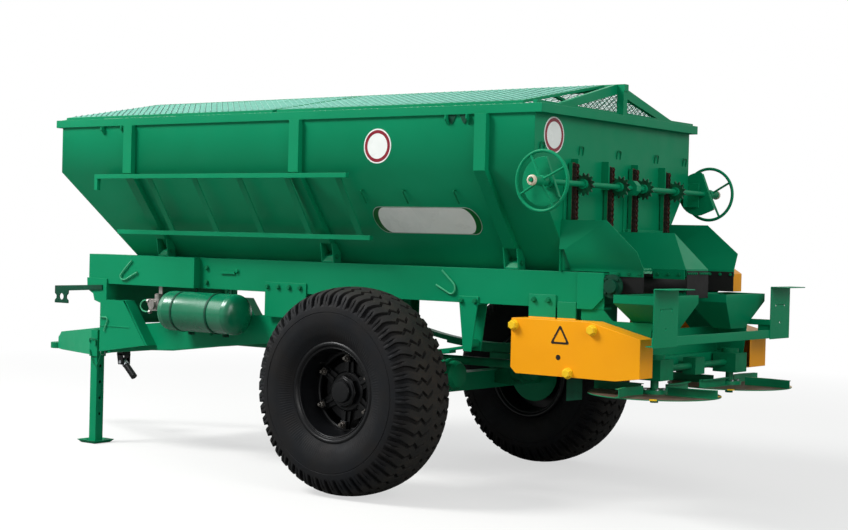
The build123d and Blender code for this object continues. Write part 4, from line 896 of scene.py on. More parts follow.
@dataclass
class Wheel:
    """One wheel: a treaded tyre over the plain one, and a spoked rim in place of the plain disc.

    The tread's grid is sheared round the axle along its grooves, so a groove stays between the same two
    columns of points from the shoulder to its end near the middle, and its walls are clean. The fields are
    the tread's lugs and depth, the spokes, the first one's turn in degrees, and how much narrower the tyre
    is than the plain one on its inner side.
    """

    side: Side
    lugs: int = 50
    depth: float = 0.017
    spokes: int = 6
    first_spoke: float = 33.0
    inset: float = 0.009
    centre: np.ndarray = field(init=False)
    radius: float = field(init=False)
    half: float = field(init=False)

    def __post_init__(self) -> None:
        """Takes the wheel's middle and size from the plain tyre."""
        low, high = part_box(f"tyre_{self.side.word}")
        self.radius = (high.z - low.z) / 2
        self.half = (high.y - low.y) / 2
        self.centre = np.array([(low.x + high.x) / 2, (low.y + high.y) / 2, (low.z + high.z) / 2])

    def section(self) -> tuple[np.ndarray, np.ndarray]:
        """Half the carcass from bead to crown: a Catmull-Rom curve, cut at chosen lengths and tread widths.

        Returns:
            The rows' widths and radii.
        """
        wide = self.half - self.inset
        knots = np.array([
            (0.140, 0.2305), (0.152, 0.236), (0.160, 0.258), (0.170, 0.273), (0.187, 0.302),
            (wide - 0.001, 0.350), (wide - 0.001, 0.398), (wide - 0.006, 0.436), (wide - 0.015, 0.465),
            (wide - 0.029, 0.489), (wide - 0.050, 0.508), (wide - 0.085, 0.5225), (0.055, 0.5325),
            (0.0, self.radius),
        ])
        padded = np.vstack([2 * knots[0] - knots[1], knots, knots[-2] * np.array([-1.0, 1.0])])
        places = np.linspace(0, len(knots) - 1 - 1e-9, 520)
        start = places.astype(int)
        t = (places - start)[:, None]
        a, b, c, d = (padded[start + shift] for shift in range(4))
        square, cube = 2 * a - 5 * b + 4 * c - d, 3 * b - a - 3 * c + d
        dense = 0.5 * (2 * b + (c - a) * t + square * t**2 + cube * t**3)
        crown = int(np.argmax(dense[:, 1] > 0.436))
        flank = dense[: crown + 1]
        rib_rows = [0.4035, 0.4055, 0.4075, 0.4095]
        rows = np.sort(np.concatenate([np.linspace(0.2306, 0.434, 24), rib_rows]))
        side = np.stack([np.interp(rows, flank[:, 1], flank[:, 0]), rows], axis=1)
        tread_rows = np.concatenate([
            np.linspace(dense[crown, 0], 0.112, 14), np.linspace(0.112, 0.088, 4)[1:],
            np.linspace(0.088, 0.056, 5)[1:], np.linspace(0.056, 0.024, 5)[1:], [0.019, 0.009, 0.0],
        ])
        over = dense[crown:][::-1]
        tread = np.stack([tread_rows, np.interp(tread_rows, over[:, 0], over[:, 1])], axis=1)
        width, radius = np.concatenate([side, tread]).T
        return width, radius

    def tyre(self) -> Surface:
        """Carcass turned about the axle, sunk along zigzag grooves: P = C + y·Y + (r - groove)·ring(t).

        Returns:
            The tyre, closed between its beads by a plain band.
        """
        width, radius = self.section()
        edge_width = float(np.interp(0.440, radius[:29], width[:29]))
        places = [0.0, 0.024, 0.056, 0.088, 0.112, 0.140, 0.168, edge_width, 0.3]
        sweep = np.interp(width, places, [0.25, 0.02, -0.34, 0.06, -0.24, -0.06, 0.09, 0.0, 0.0])
        tread = np.clip((radius - 0.437) / 0.014, 0.0, 1.0) * np.clip((width - 0.0195) / 0.003, 0.0, 1.0)
        half_groove = np.interp(width, [0.0, 0.112, 0.15, edge_width, 0.3], [0.11, 0.125, 0.155, 0.17, 0.17])
        slit = np.clip(1.0 - np.abs(radius - 0.476) / 0.022, 0.0, 1.0) ** 0.5
        count = len(width)
        width = np.concatenate([width, -width[-2::-1]])
        radius, tread, half_groove, slit = (
            np.concatenate([row, row[-2::-1]]) for row in (radius, tread, half_groove, slit)
        )
        half_step = 0.5 * np.clip(np.arange(1, count) / 3.0, 0.0, 1.0)
        sweep = np.concatenate([sweep, sweep[-2::-1] + half_step])
        flat = np.ones_like(half_groove)
        columns = np.stack([
            -half_groove - 0.045, -half_groove, half_groove, half_groove + 0.045,
            *(place * flat for place in (0.31, 0.425, 0.465, 0.535, 0.575, 0.69)),
        ])
        sink = np.zeros_like(columns)
        sink[1:3] = self.depth * tread
        sink[6:8] = 0.008 * slit
        rib = -0.0022 * (np.abs(radius - 0.4065) < 0.0015)
        edge = np.gradient(np.stack([width, radius], axis=1), axis=0)
        edge /= np.linalg.norm(edge, axis=1, keepdims=True)
        out_y, out_r = -edge[:, 1], edge[:, 0]
        lift = (rib[None, :] - sink) * np.sign(out_r[count - 1])
        y = width[None, :] + lift * out_y[None, :]
        r = np.minimum(radius[None, :] + lift * out_r[None, :], self.radius)
        turn = (np.arange(self.lugs)[:, None, None] + columns[None] + sweep[None, None, :]) / self.lugs * TAU
        axis, side, third = Along.Y.frame()
        ring = np.cos(turn)[..., None] * side + np.sin(turn)[..., None] * third
        across = (self.side.sign * (y + self.inset))[None, ..., None] * axis
        points = self.centre + across + r[None, ..., None] * ring
        return grid(points.reshape(-1, len(width), 3), True, True)

    def ring(self, profile: Sequence[tuple[float, float]], steps: int = 96, closed: bool = True) -> Surface:
        """A profile of (radius, outward distance from the wheel's middle) turned about the axle."""
        outward = [(r, self.side.sign * h) for r, h in profile]
        return turned(outward, self.centre, Along.Y, steps, closed)

    def spoke_angles(self) -> list[float]:
        """The spokes' turns about the axle, in radians, from the forward direction."""
        return [math.radians(self.first_spoke + 360.0 / self.spokes * index) for index in range(self.spokes)]

    def spoke(self, angle: float) -> list[Surface]:
        """One arm of the hub spider, its raised middle and its clamp: tapered plates square to the axle.

        Args:
            angle: the arm's turn about the axle, in radians.

        Returns:
            The three plates.
        """
        hub = self.centre[[2, 0]]
        way = np.array([math.sin(angle), math.cos(angle)])
        across = np.array([way[1], -way[0]])
        plates = []
        for reach, half, outward in (
            ((0.092, 0.192), (0.034, 0.024), (0.032, 0.047)),
            ((0.100, 0.190), (0.008, 0.006), (0.046, 0.058)),
            ((0.152, 0.190), (0.020, 0.020), (0.046, 0.064)),
        ):
            corners = [hub + way * reach[end] + across * half[end] * lean
                       for end, lean in ((0, -1), (1, -1), (1, 1), (0, 1))]
            ends = sorted(float(self.centre[1]) + self.side.sign * place for place in outward)
            plates.append(plate(corners, Along.Y, *ends))
        return plates

    def rim(self) -> Surface:
        """The barrel with rolled flanges, and a hub spider of arms with clamps that bolt the barrel on.

        Returns:
            The rim.
        """
        flange = [
            (0.219, 0.120), (0.2203, 0.150), (0.2225, 0.160), (0.2262, 0.1628), (0.2290, 0.1595),
            (0.2335, 0.1600), (0.2375, 0.1680), (0.2425, 0.1735), (0.2500, 0.1745), (0.2570, 0.1710),
            (0.2612, 0.1645), (0.2618, 0.1570), (0.2570, 0.1525), (0.2480, 0.1500), (0.2320, 0.1420),
            (0.2295, 0.120),
        ]
        well = [(0.213, 0.085), (0.213, -0.050)]
        inner = [(0.205, -0.050), (0.205, 0.085)]
        pieces = [
            self.ring([*flange, *well, *[(r, -h) for r, h in flange[::-1]], *inner]),
            self.ring([(0.188, 0.026), (0.188, 0.040), (0.194, 0.046), (0.2058, 0.046), (0.2058, 0.026)]),
            self.ring([(0.060, 0.031), (0.060, 0.054), (0.096, 0.054), (0.104, 0.048), (0.104, 0.031)], 72),
            self.ring([(0.150, -0.034), (0.150, -0.030), (0.219, -0.030), (0.219, -0.034)]),
        ]
        for angle in self.spoke_angles():
            pieces += self.spoke(angle)
        return merged(pieces)

    def clamp_bolts(self) -> Surface:
        """A nut and the end of its stud on each spoke's clamp.

        Returns:
            The nuts and studs.
        """
        out = self.side.sign
        bolts = []
        for angle in self.spoke_angles():
            seat = self.centre + np.array([0.171 * math.cos(angle), out * 0.064, 0.171 * math.sin(angle)])
            bolts.append(hex_bolt(seat, Along.Y, out, 0.026))
            stud = [(0.0, 0.0), (0.008, 0.0), (0.008, out * 0.030), (0.0, out * 0.032)]
            bolts.append(turned(stud, seat, Along.Y, 12))
        return merged(bolts)

    def hub_cap(self) -> Surface:
        """The hub's eight-sided housing with its round cap.

        Returns:
            The two as one surface.
        """
        housing = [(0.0, 0.050), (0.082, 0.050), (0.082, 0.078), (0.070, 0.088), (0.0, 0.088)]
        cap = [(0.0, 0.085), (0.056, 0.085), (0.056, 0.099), (0.052, 0.1045), (0.045, 0.1055), (0.0, 0.1055)]
        return merged([self.ring(housing, 8, False), self.ring(cap, 56, False)])

    def build(self) -> None:
        """Adds the wheel's pieces."""
        word, body, out = self.side.word, f"wheel_{self.side.word}", self.side.sign
        rubber = replace(TYRE, axle_x=float(self.centre[0]), axle_z=float(self.centre[2]))
        tyre = dressed(f"tread_{word}", self.tyre(), rubber, body, 42.0)
        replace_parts(tyre, f"tyre_{word}")
        rim = dressed(f"spoked_rim_{word}", self.rim(), BLACK, body, bevel=0.002)
        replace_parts(rim, f"rim_{word}")
        dressed(f"rim_clamp_bolts_{word}", self.clamp_bolts(), STEEL, body)
        dressed(f"hub_cap_{word}", self.hub_cap(), BLACK, body)
        stem = self.centre + np.array([0.150, out * 0.045, 0.138])
        tapered = [(0.0, 0.0), (0.007, 0.0), (0.005, out * 0.012), (0.004, out * 0.045), (0.0, out * 0.046)]
        dressed(f"valve_stem_{word}", turned(tapered, stem, Along.Y, 12), RUBBER, body)


# ---------------------------------------------------------------- hopper and covers


@dataclass
class CoverPanel:
    """The woven wire panel of one cover lid."""

    end: str
    side: Side
    spacing: float = 0.023
    wire: float = 0.0025
    border: float = 0.010
    hem: float = 0.011
    slant: float = 1.0

    def build(self) -> None:
        """Lays two families of slanted wires on the lid's plane, cut at its edges.

        A wire leaves the lid's edge at a place s and climbs at a fixed slant, so the point is
        (s + slant·w, w) with w held where the wire meets the panel's border.
        """
        word = f"{self.end}_{self.side.word}"
        low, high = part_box(f"lid_{word}")
        inner, outer = sorted((abs(low.y), abs(high.y)))
        x0, x1 = low.x + self.border, high.x - self.border
        width = outer - inner - 0.034
        drop = (high.z - 0.014 - low.z) / (outer - inner)
        starts = np.arange(x0 - self.slant * width, x1, self.spacing * 2.0)
        rods = []
        for lean, near, far in ((1.0, x0, x1), (-1.0, x1, x0)):
            first = starts if lean > 0 else starts + self.slant * width
            w_in = np.clip((near - first) * lean / self.slant, 0.0, width)
            w_out = np.clip((far - first) * lean / self.slant, 0.0, width)
            keep = w_out - w_in > 0.02
            for start, *ends in zip(first[keep], w_in[keep], w_out[keep]):
                w = np.array(ends)
                x = start + lean * self.slant * w
                y = self.side.sign * (outer - self.hem - w)
                z = low.z + 0.0161 + drop * (w + self.hem) + lean * self.wire * 0.9
                rods.append(rod(np.stack([x, y, z], axis=1), self.wire, Along.Z.value, 4))
        dressed(f"wire_panel_{word}", merged(rods), WIRE, f"cover_{word}")


@dataclass
class GableNet:
    """Wire net in the two triangles of an end arch, of wires that lean both ways."""

    spacing: float = 0.046
    wire: float = 0.0024
    half: float = 0.590
    rise: float = 0.118
    lean: float = 0.6

    def build(self) -> None:
        """Cuts each wire, z = base + (y - s)·lean, at the base line and under the two sloping arms."""
        low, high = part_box("cover_frame")
        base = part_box("hopper_rim")[1].z
        y = np.linspace(-self.half, self.half, 237)
        arms = self.rise * (1.0 - np.abs(y) / self.half)
        for name, x in (("rear", low.x + 0.0575), ("front", high.x - 0.012)):
            rods = []
            for lean in (self.lean, -self.lean):
                for start in np.arange(-self.half - 0.3, self.half + 0.3, self.spacing):
                    z = (y - start) * lean
                    inside = np.flatnonzero((z > 0.0) & (z < arms))
                    if len(inside) > 6:
                        layer = x + math.copysign(0.0013, lean)
                        line = [(layer, y[k], base + z[k]) for k in inside[[0, -1]]]
                        rods.append(rod(line, self.wire, Along.X.value, 4))
            dressed(f"gable_net_{name}", merged(rods), NET_GREEN)


@dataclass
class RibFeet:
    """The slopes' ribs: folded channels whose feet are open, with two cheeks and a sloping foot plate."""

    depth: float = 0.032
    width: float = 0.070
    foot: float = 0.090
    cheek: float = 0.007
    end: float = 1.285

    def build(self) -> None:
        """Replaces the plain ribs: every plate is an outline across the machine, carried along it."""
        wall, top, end_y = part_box("hopper")[1].y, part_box("rail_left")[1].z, slope_y(self.end)
        channel = [(wall, SLOPE_BEND), (wall + self.depth, SLOPE_BEND - 0.010),
                   (end_y + self.depth + 0.008, self.end), (end_y, self.end)]
        cheek = [(0.450, top + 0.0005), (0.512, top + 0.0005), (end_y + self.depth + 0.006, self.end + 0.004),
                 (end_y, self.end), (0.456, 1.237)]
        floor = [(0.448, top + 0.0008), (0.511, top + 0.0008), (0.511, top + 0.010), (0.497, top + 0.034),
                 (0.448, top + 0.060)]
        pieces = []
        for station in RIB_STATIONS:
            x = axle_x() + station
            low, high = x - self.foot / 2, x + self.foot / 2
            pieces += [
                plate(channel, Along.X, x - self.width / 2, x + self.width / 2),
                plate(cheek, Along.X, low, low + self.cheek),
                plate(cheek, Along.X, high - self.cheek, high),
                plate(floor, Along.X, low + self.cheek, high - self.cheek),
            ]
        ribs = dressed("open_footed_ribs", both_sides(pieces), GREEN, bevel=0.0015)
        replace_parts(ribs, "slope_ribs")


@dataclass
class HopperDress:
    """Signs, plates, hooks and bolts on the hopper's walls."""

    sign: float = 0.090
    band: tuple[float, float] = (0.066, 0.083)
    plate_x: tuple[float, float] = (-0.563, 0.132)
    plate_z: tuple[float, float] = (1.352, 1.488)
    staples: tuple[float, ...] = (0.72, 0.36, -0.01, -0.41, -0.73)
    eyes: tuple[float, ...] = (0.125, -0.155, -0.482)
    # Places, from the axle, of the two dark plates under the rim, which are painted shadow.
    tabs: tuple[float, ...] = (-0.505, -0.584)
    wall: float = field(init=False)
    rear: float = field(init=False)
    axle: float = field(init=False)

    def __post_init__(self) -> None:
        """Takes the walls' places from the hopper."""
        low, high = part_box("hopper")
        self.wall, self.rear, self.axle = high.y, low.x, axle_x()

    def round_sign(self, name: str, centre: tuple[float, float, float], along: Along, out: float) -> None:
        """A blank white disc with a red band inside a white edge.

        Args:
            name: the sign's name.
            centre: middle of its back.
            along: the axis it faces.
            out: 1 or -1 along that axis.
        """
        dressed(f"{name}_ground", pin(self.sign, out * 0.0012, centre, along, 64), FILM_WHITE)
        dressed(f"{name}_band", collar(self.band, (out * 0.0012, out * 0.0018), centre, along, 64), FILM_RED)

    def slope_plate(self) -> None:
        """The blank pill-shaped plate on the left slope: a stadium outline laid on the slope's plane."""
        (x0, x1), (low, high) = (self.axle + np.array(self.plate_x)).tolist(), self.plate_z
        radius, middle_x, middle_z = (high - low) / 2, (x0 + x1) / 2, (low + high) / 2
        turn = np.linspace(-math.pi / 2, math.pi / 2, 17)
        outline_x = np.concatenate([x1 - radius + radius * np.cos(turn), x0 + radius - radius * np.cos(turn)])
        outline_z = middle_z + radius * np.concatenate([np.sin(turn), -np.sin(turn)])
        normal = np.array([0.0, 1.0, -slope_lean()]) / math.hypot(1.0, slope_lean())
        for name, grow, short, lift, finish in (
            ("edge", 0.0, 0.0, 0.0010, FILM_GREY),
            ("ends", 0.0022, 0.0, 0.0014, FILM_GREEN),
            ("field", 0.0035, 0.034, 0.0018, FILM_WHITE),
        ):
            x = middle_x + (outline_x - middle_x) * (1 - (grow + short) / ((x1 - x0) / 2))
            z = middle_z + (outline_z - middle_z) * (1 - grow / radius)
            base = np.stack([x, slope_y(z), z], axis=1)
            dressed(f"slope_plate_{name}", walled(base + 0.0002 * normal, base + lift * normal), finish)

    def hooks(self) -> None:
        """Five small round-bar staples on the rear wall, each an inverted U, and three eyes on the slope."""
        staples = []
        for y in self.staples:
            foot, top, half = (self.rear - 0.001, 1.762), (self.rear - 0.007, 1.806), 0.018
            corners = [(x, y + shift, z) for (x, z), shift in
                       ((foot, half), (top, half), (top, -half), (foot, -half))]
            staples.append(bent_bar(corners, 0.014, 0.0035, Along.X))
        dressed("rear_staples", merged(staples), GREEN_CAST)
        eyes = []
        path = ((1.572, -0.002, 0.0), (1.572, 0.020, -0.004), (1.505, 0.018, 0.0))
        for x in self.eyes:
            corners = [(self.axle + x, slope_y(z) + out, z + fall) for z, out, fall in path]
            eyes.append(bent_bar(corners, 0.010, 0.0045, Along.X))
        dressed("slope_eyes", merged(eyes), GREEN_CAST)

    def rim_tabs(self) -> None:
        """Two dark pointed plates just under the rim on the left wall: painted shadow of hooks on the rim."""
        top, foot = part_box("hopper_rim")[0].z + 0.004, 1.900
        tabs = []
        for x in self.tabs:
            corners = ((top, -0.032), (top, 0.032), (foot, 0.004), (foot, -0.004))
            outline = [(z, self.axle + x + shift) for z, shift in corners]
            tabs.append(plate(outline, Along.Y, self.wall + 0.002, self.wall + 0.005))
        dressed("rim_tabs", merged(tabs), DARK_GREEN)

    def foot_bolts(self) -> None:
        """Pivot bolts through both cheeks of each rib's foot."""
        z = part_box("slope_ribs")[0].z + 0.034
        bolts = [hex_bolt((self.axle + station + end * 0.045, 0.490, z), Along.X, end, 0.019)
                 for station in RIB_STATIONS for end in (1, -1)]
        dressed("foot_bolts", both_sides(bolts), GREEN_CAST)

    def build(self) -> None:
        """Adds everything on the hopper."""
        self.round_sign("side_sign", (self.axle - 0.031, self.wall, 1.797), Along.Y, 1.0)
        self.round_sign("rear_sign", (self.rear, 0.613, 1.847), Along.X, -1.0)
        self.slope_plate()
        self.hooks()
        self.rim_tabs()
        self.foot_bolts()


@dataclass
class GateDrive:
    """One gate shaft: sprockets with curved teeth and a handwheel of round tube."""

    side: Side
    teeth: int = 13
    pitch: float = 0.0254
    rim: float = 0.1432
    tube: float = 0.0085
    racks: tuple[float, float] = (0.125, 0.470)
    links: int = 14
    x: float = field(init=False)
    z: float = field(init=False)
    plane: float = field(init=False)

    def __post_init__(self) -> None:
        """Takes the shaft's place from its node, and puts the handwheel's plane outside the wall."""
        self.x, _, self.z = middle(f"gate_shaft_{self.side.word}")
        self.plane = self.side.sign * 0.855

    def sprocket(self, y: float) -> Surface:
        """A toothed plate: radius = root + tooth·|cos|^p of the turn, one tooth pointing along +X.

        Args:
            y: the plate's middle across the machine.

        Returns:
            The sprocket.
        """
        pitch_radius = self.pitch * self.teeth / TAU
        angle = np.arange(self.teeth * 12) * TAU / (self.teeth * 12)
        wave = np.abs(np.cos(angle * self.teeth / 2)) ** 3.2
        radius = pitch_radius - 0.0088 + 0.0138 * wave
        outline = np.stack([self.z + radius * np.sin(angle), self.x + radius * np.cos(angle)], axis=1)
        return plate(outline, Along.Y, y - 0.0045, y + 0.0045)

    def handwheel(self) -> list[Surface]:
        """The rim of round tube, four dished spokes and the long hub.

        Returns:
            The handwheel's surfaces.
        """
        out = self.side.sign
        centre = np.array([self.x, self.plane, self.z])
        pieces = [hoop(centre, Along.Y, self.rim, self.tube, 72, 12)]
        hub = centre + np.array([0.0, out * 0.012, 0.0])
        for index in range(4):
            lean = math.radians(62 + 90 * index)
            way = np.array([math.cos(lean), 0.0, math.sin(lean)])
            tip = centre + way * self.rim
            spoke = [hub + way * 0.02, (hub + tip) / 2, tip]
            pieces.append(rod(spoke, 0.0062, np.cross(way, Along.Y.value), 10))
        profile = [(0.0, -0.022), (0.027, -0.022), (0.027, 0.010), (0.022, 0.014), (0.022, 0.080),
                   (0.0, 0.080)]
        pieces.append(turned([(r, out * h) for r, h in profile], centre, Along.Y, 32))
        return pieces

    def end_nut(self, reach: float) -> None:
        """The pale ring nut on the shaft's end and the stud inside it.

        Args:
            reach: the shaft's outer end.
        """
        body, out = f"handwheel_{self.side.word}", self.side.sign
        seat = (self.x, reach - out * 0.020, self.z)
        ring = [(0.011, 0.0), (0.024, 0.0), (0.026, 0.004), (0.024, 0.014), (0.017, 0.017), (0.011, 0.012)]
        nut = turned([(r, out * h) for r, h in ring], seat, Along.Y, 40, True)
        dressed(f"handwheel_nut_{self.side.word}", nut, CREAM, body)
        stud = pin(0.011, out * 0.010, seat, Along.Y)
        dressed(f"handwheel_stud_{self.side.word}", stud, CHAIN, body)

    def chain_links(self) -> None:
        """Round link ends and pin heads on both flanks of the gate's chains, so the chains look lumpy."""
        line = self.x + self.pitch * self.teeth / TAU
        first = self.z + self.pitch / 2 - 10 * self.pitch
        links = []
        for rack in self.racks:
            for index in range(self.links):
                big = 0.0142 if index % 2 else 0.0134
                profile = [(0.0, 0.0), (big, 0.0), (big - 0.001, 0.0022), (0.0045, 0.0022), (0.0040, 0.0042),
                           (0.0, 0.0042)]
                for flank in (1.0, -1.0):
                    centre = (line, self.side.sign * rack + flank * 0.0108, first + index * self.pitch)
                    links.append(turned([(r, flank * h) for r, h in profile], centre, Along.Y, 14))
        dressed(f"chain_links_{self.side.word}", merged(links), CHAIN, f"gate_body_{self.side.word}")

    def build(self) -> None:
        """Adds the shaft with its sprockets, collars, handwheel and end nut."""
        node, body, out = f"gate_shaft_{self.side.word}", f"handwheel_{self.side.word}", self.side.sign
        low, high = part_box(node)
        inner, end = 0.006 * out, high.y if out > 0 else low.y
        shaft = [(0.0, inner), (0.014, inner), (0.014, end - out * 0.03), (0.009, end - out * 0.028),
                 (0.009, end), (0.0, end)]
        pieces = [turned(shaft, (self.x, 0.0, self.z), Along.Y, 24), *self.handwheel()]
        for rack in self.racks:
            for shift in (-0.014, 0.014):
                seat = (self.x, out * (rack + shift - 0.009), self.z)
                pieces.append(pin(0.024, out * 0.018, seat, Along.Y))
        whole = dressed(f"handwheel_set_{self.side.word}", merged(pieces), GREEN, body)
        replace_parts(whole, node)
        gears = merged([self.sprocket(out * rack) for rack in self.racks])
        dressed(f"sprockets_{self.side.word}", gears, SPROCKET, body)
        self.end_nut(end)
        self.chain_links()


@dataclass
class ShaftBrackets:
    """The gate shafts' end brackets, D-shaped plates on the side walls, and the bearing between them."""

    reach: float = 0.120
    thick: float = 0.008

    def build(self) -> None:
        """Replaces the plain brackets: an arc from top to foot round the front, and a slanted rear edge."""
        x, _, z = middle("gate_shaft_left")
        turn = np.linspace(math.radians(95.0), math.radians(-100.0), 27)
        arc = [(z + self.reach * math.sin(t), x + 0.033 + self.reach * math.cos(t)) for t in turn]
        outline = [*arc, (z - 0.094, x - 0.050), (z - 0.085, x - 0.069), (z + 0.120, x + 0.014)]
        strip = [(z - 0.080, x - 0.060), (z - 0.074, x - 0.066), (z + 0.114, x + 0.010),
                 (z + 0.112, x + 0.018)]
        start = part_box("hopper")[1].y + 0.0012
        face = start + self.thick
        tall, deep = (z + 0.060, z - 0.075), (x + 0.020, x + 0.094)
        sides = both_sides([
            plate(outline, Along.Y, start, face),
            plate(strip, Along.Y, face, face + 0.012),
            collar((0.0155, 0.032), (0.0, 0.016), (x, face, z), Along.Y),
            block(Along.Y, (0.7705, 0.7765), tall, deep),
            block(Along.Y, (0.7265, 0.7765), tall, (x + 0.088, x + 0.094)),
        ])
        bearing = collar((0.0155, 0.041), (-0.022, 0.022), (x, 0.0, z), Along.Y, 8, math.pi / 8)
        arm = block(Along.Y, (-0.020, 0.020), (z - 0.022, z + 0.022), (x + 0.036, x + 0.0945))
        brackets = dressed("shaft_end_brackets", merged([sides, bearing, arm]), GREEN, bevel=0.0015)
        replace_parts(brackets, "shaft_brackets")


# ---------------------------------------------------------------- frame and brakes


@dataclass
class AirTank:
    """The air tank: a welded shell with dished ends, its weld rings, its plugs and its two narrow straps."""

    dome: float = 0.060
    strap: float = 0.007
    clamp: float = 0.012

    def build(self) -> None:
        """Replaces the plain tank by one whose ends are half ellipses turned about its axis."""
        low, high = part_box("air_tank")
        centre = middle("air_tank")
        radius, half = (high.z - low.z) / 2, (high.x - low.x) / 2
        turn = np.linspace(0.0, math.pi / 2, 15)
        end = np.stack([radius * np.sin(turn), half - self.dome + self.dome * np.cos(turn)], axis=1)
        seam = half - self.dome - 0.018
        right = [*map(tuple, end), (radius, seam + 0.004), (radius + 0.0012, seam), (radius, seam - 0.004)]
        profile = [*right, *[(r, -h) for r, h in right[::-1]]]
        tank = dressed("dished_air_tank", turned(profile, centre, Along.X, 96), TANK_GREEN, angle=50.0)
        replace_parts(tank, "air_tank")
        self.straps(centre, radius)
        plug = hex_bolt((centre[0] - 0.06, centre[1], low.z + 0.001), Along.Z, -1.0, 0.022)
        boss = pin(0.020, 0.012, (high.x - 0.006, centre[1], centre[2] - 0.02), Along.X, 20)
        dressed("tank_plugs", merged([plug, boss]), GREEN_CAST)

    def straps(self, centre: tuple[float, float, float], radius: float) -> None:
        """Replaces the broad bands by narrow ones, each with its leg up to the rail and its clamping bolt.

        Args:
            centre: the tank's middle.
            radius: the tank's radius.
        """
        low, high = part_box("tank_straps")
        rail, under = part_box("rail_left")[1].y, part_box("rail_left")[0].z
        _, y, z = centre
        foot = z - radius
        pieces = []
        for x in (low.x + 0.016, high.x - 0.016):
            band, grip = (x - self.strap, x + self.strap), (x - self.clamp, x + self.clamp)
            radii = (radius + 0.0004, radius + 0.0034)
            pieces.append(collar(radii, (-self.strap, self.strap), (x, y, z), Along.X, 72))
            pieces.append(block(Along.X, band, (rail - 0.010, rail + 0.002), (z + 0.060, under)))
            for shift in (-0.016, 0.004):
                far, near = y - 0.058 + shift, y - 0.050 + shift
                ear = [(far, foot + 0.016), (near, foot + 0.014), (near, foot - 0.022), (far, foot - 0.022)]
                pieces.append(plate(ear, Along.X, *grip))
            pieces.append(hex_bolt((x, y - 0.046, foot - 0.010), Along.Y, 1.0, 0.014))
        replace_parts(dressed("narrow_tank_straps", merged(pieces), DARK_GREEN), "tank_straps")


@dataclass
class BrakeChamber:
    """The two brake chambers behind the axle, each a pressed can with a clamp ring, a rod and its bracket."""

    radius: float = 0.082
    length: float = 0.125
    behind: float = 0.165
    above: float = 0.070
    inboard: float = 0.360

    def build(self) -> None:
        """Turns the can's profile about a line along the machine and mirrors it to the right side."""
        axle, y, z = axle_x(), self.inboard, middle("axle")[2] + self.above
        seat = (axle - self.behind, y, z)
        r, end = self.radius, -self.length
        can = [(0.0, 0.0), (r * 0.90, 0.0), (r * 0.94, -0.010), (r * 0.94, -0.046), (r * 1.08, -0.050),
               (r * 1.08, -0.068), (r * 0.94, -0.072), (r * 0.94, end + 0.024), (r * 0.78, end + 0.006),
               (r * 0.40, end), (0.0, end)]
        foot = middle("hub_left")[2]
        bracket = [(y - 0.055, foot - 0.030), (y + 0.055, foot - 0.030), (y + 0.070, z + 0.050),
                   (y + 0.030, z + 0.080), (y - 0.030, z + 0.080), (y - 0.070, z + 0.050)]
        web = [(foot - 0.020, axle - 0.030), (foot + 0.020, axle - 0.030), (z + 0.030, seat[0] + 0.006),
               (foot - 0.030, seat[0] + 0.006)]
        chambers = both_sides([
            turned(can, seat, Along.X, 56),
            pin(0.012, 0.110, seat, Along.X, 16),
            plate(bracket, Along.X, seat[0], seat[0] + 0.008),
            plate(web, Along.Y, y - 0.056, y - 0.048),
        ])
        dressed("brake_chambers", chambers, GREEN_CAST)


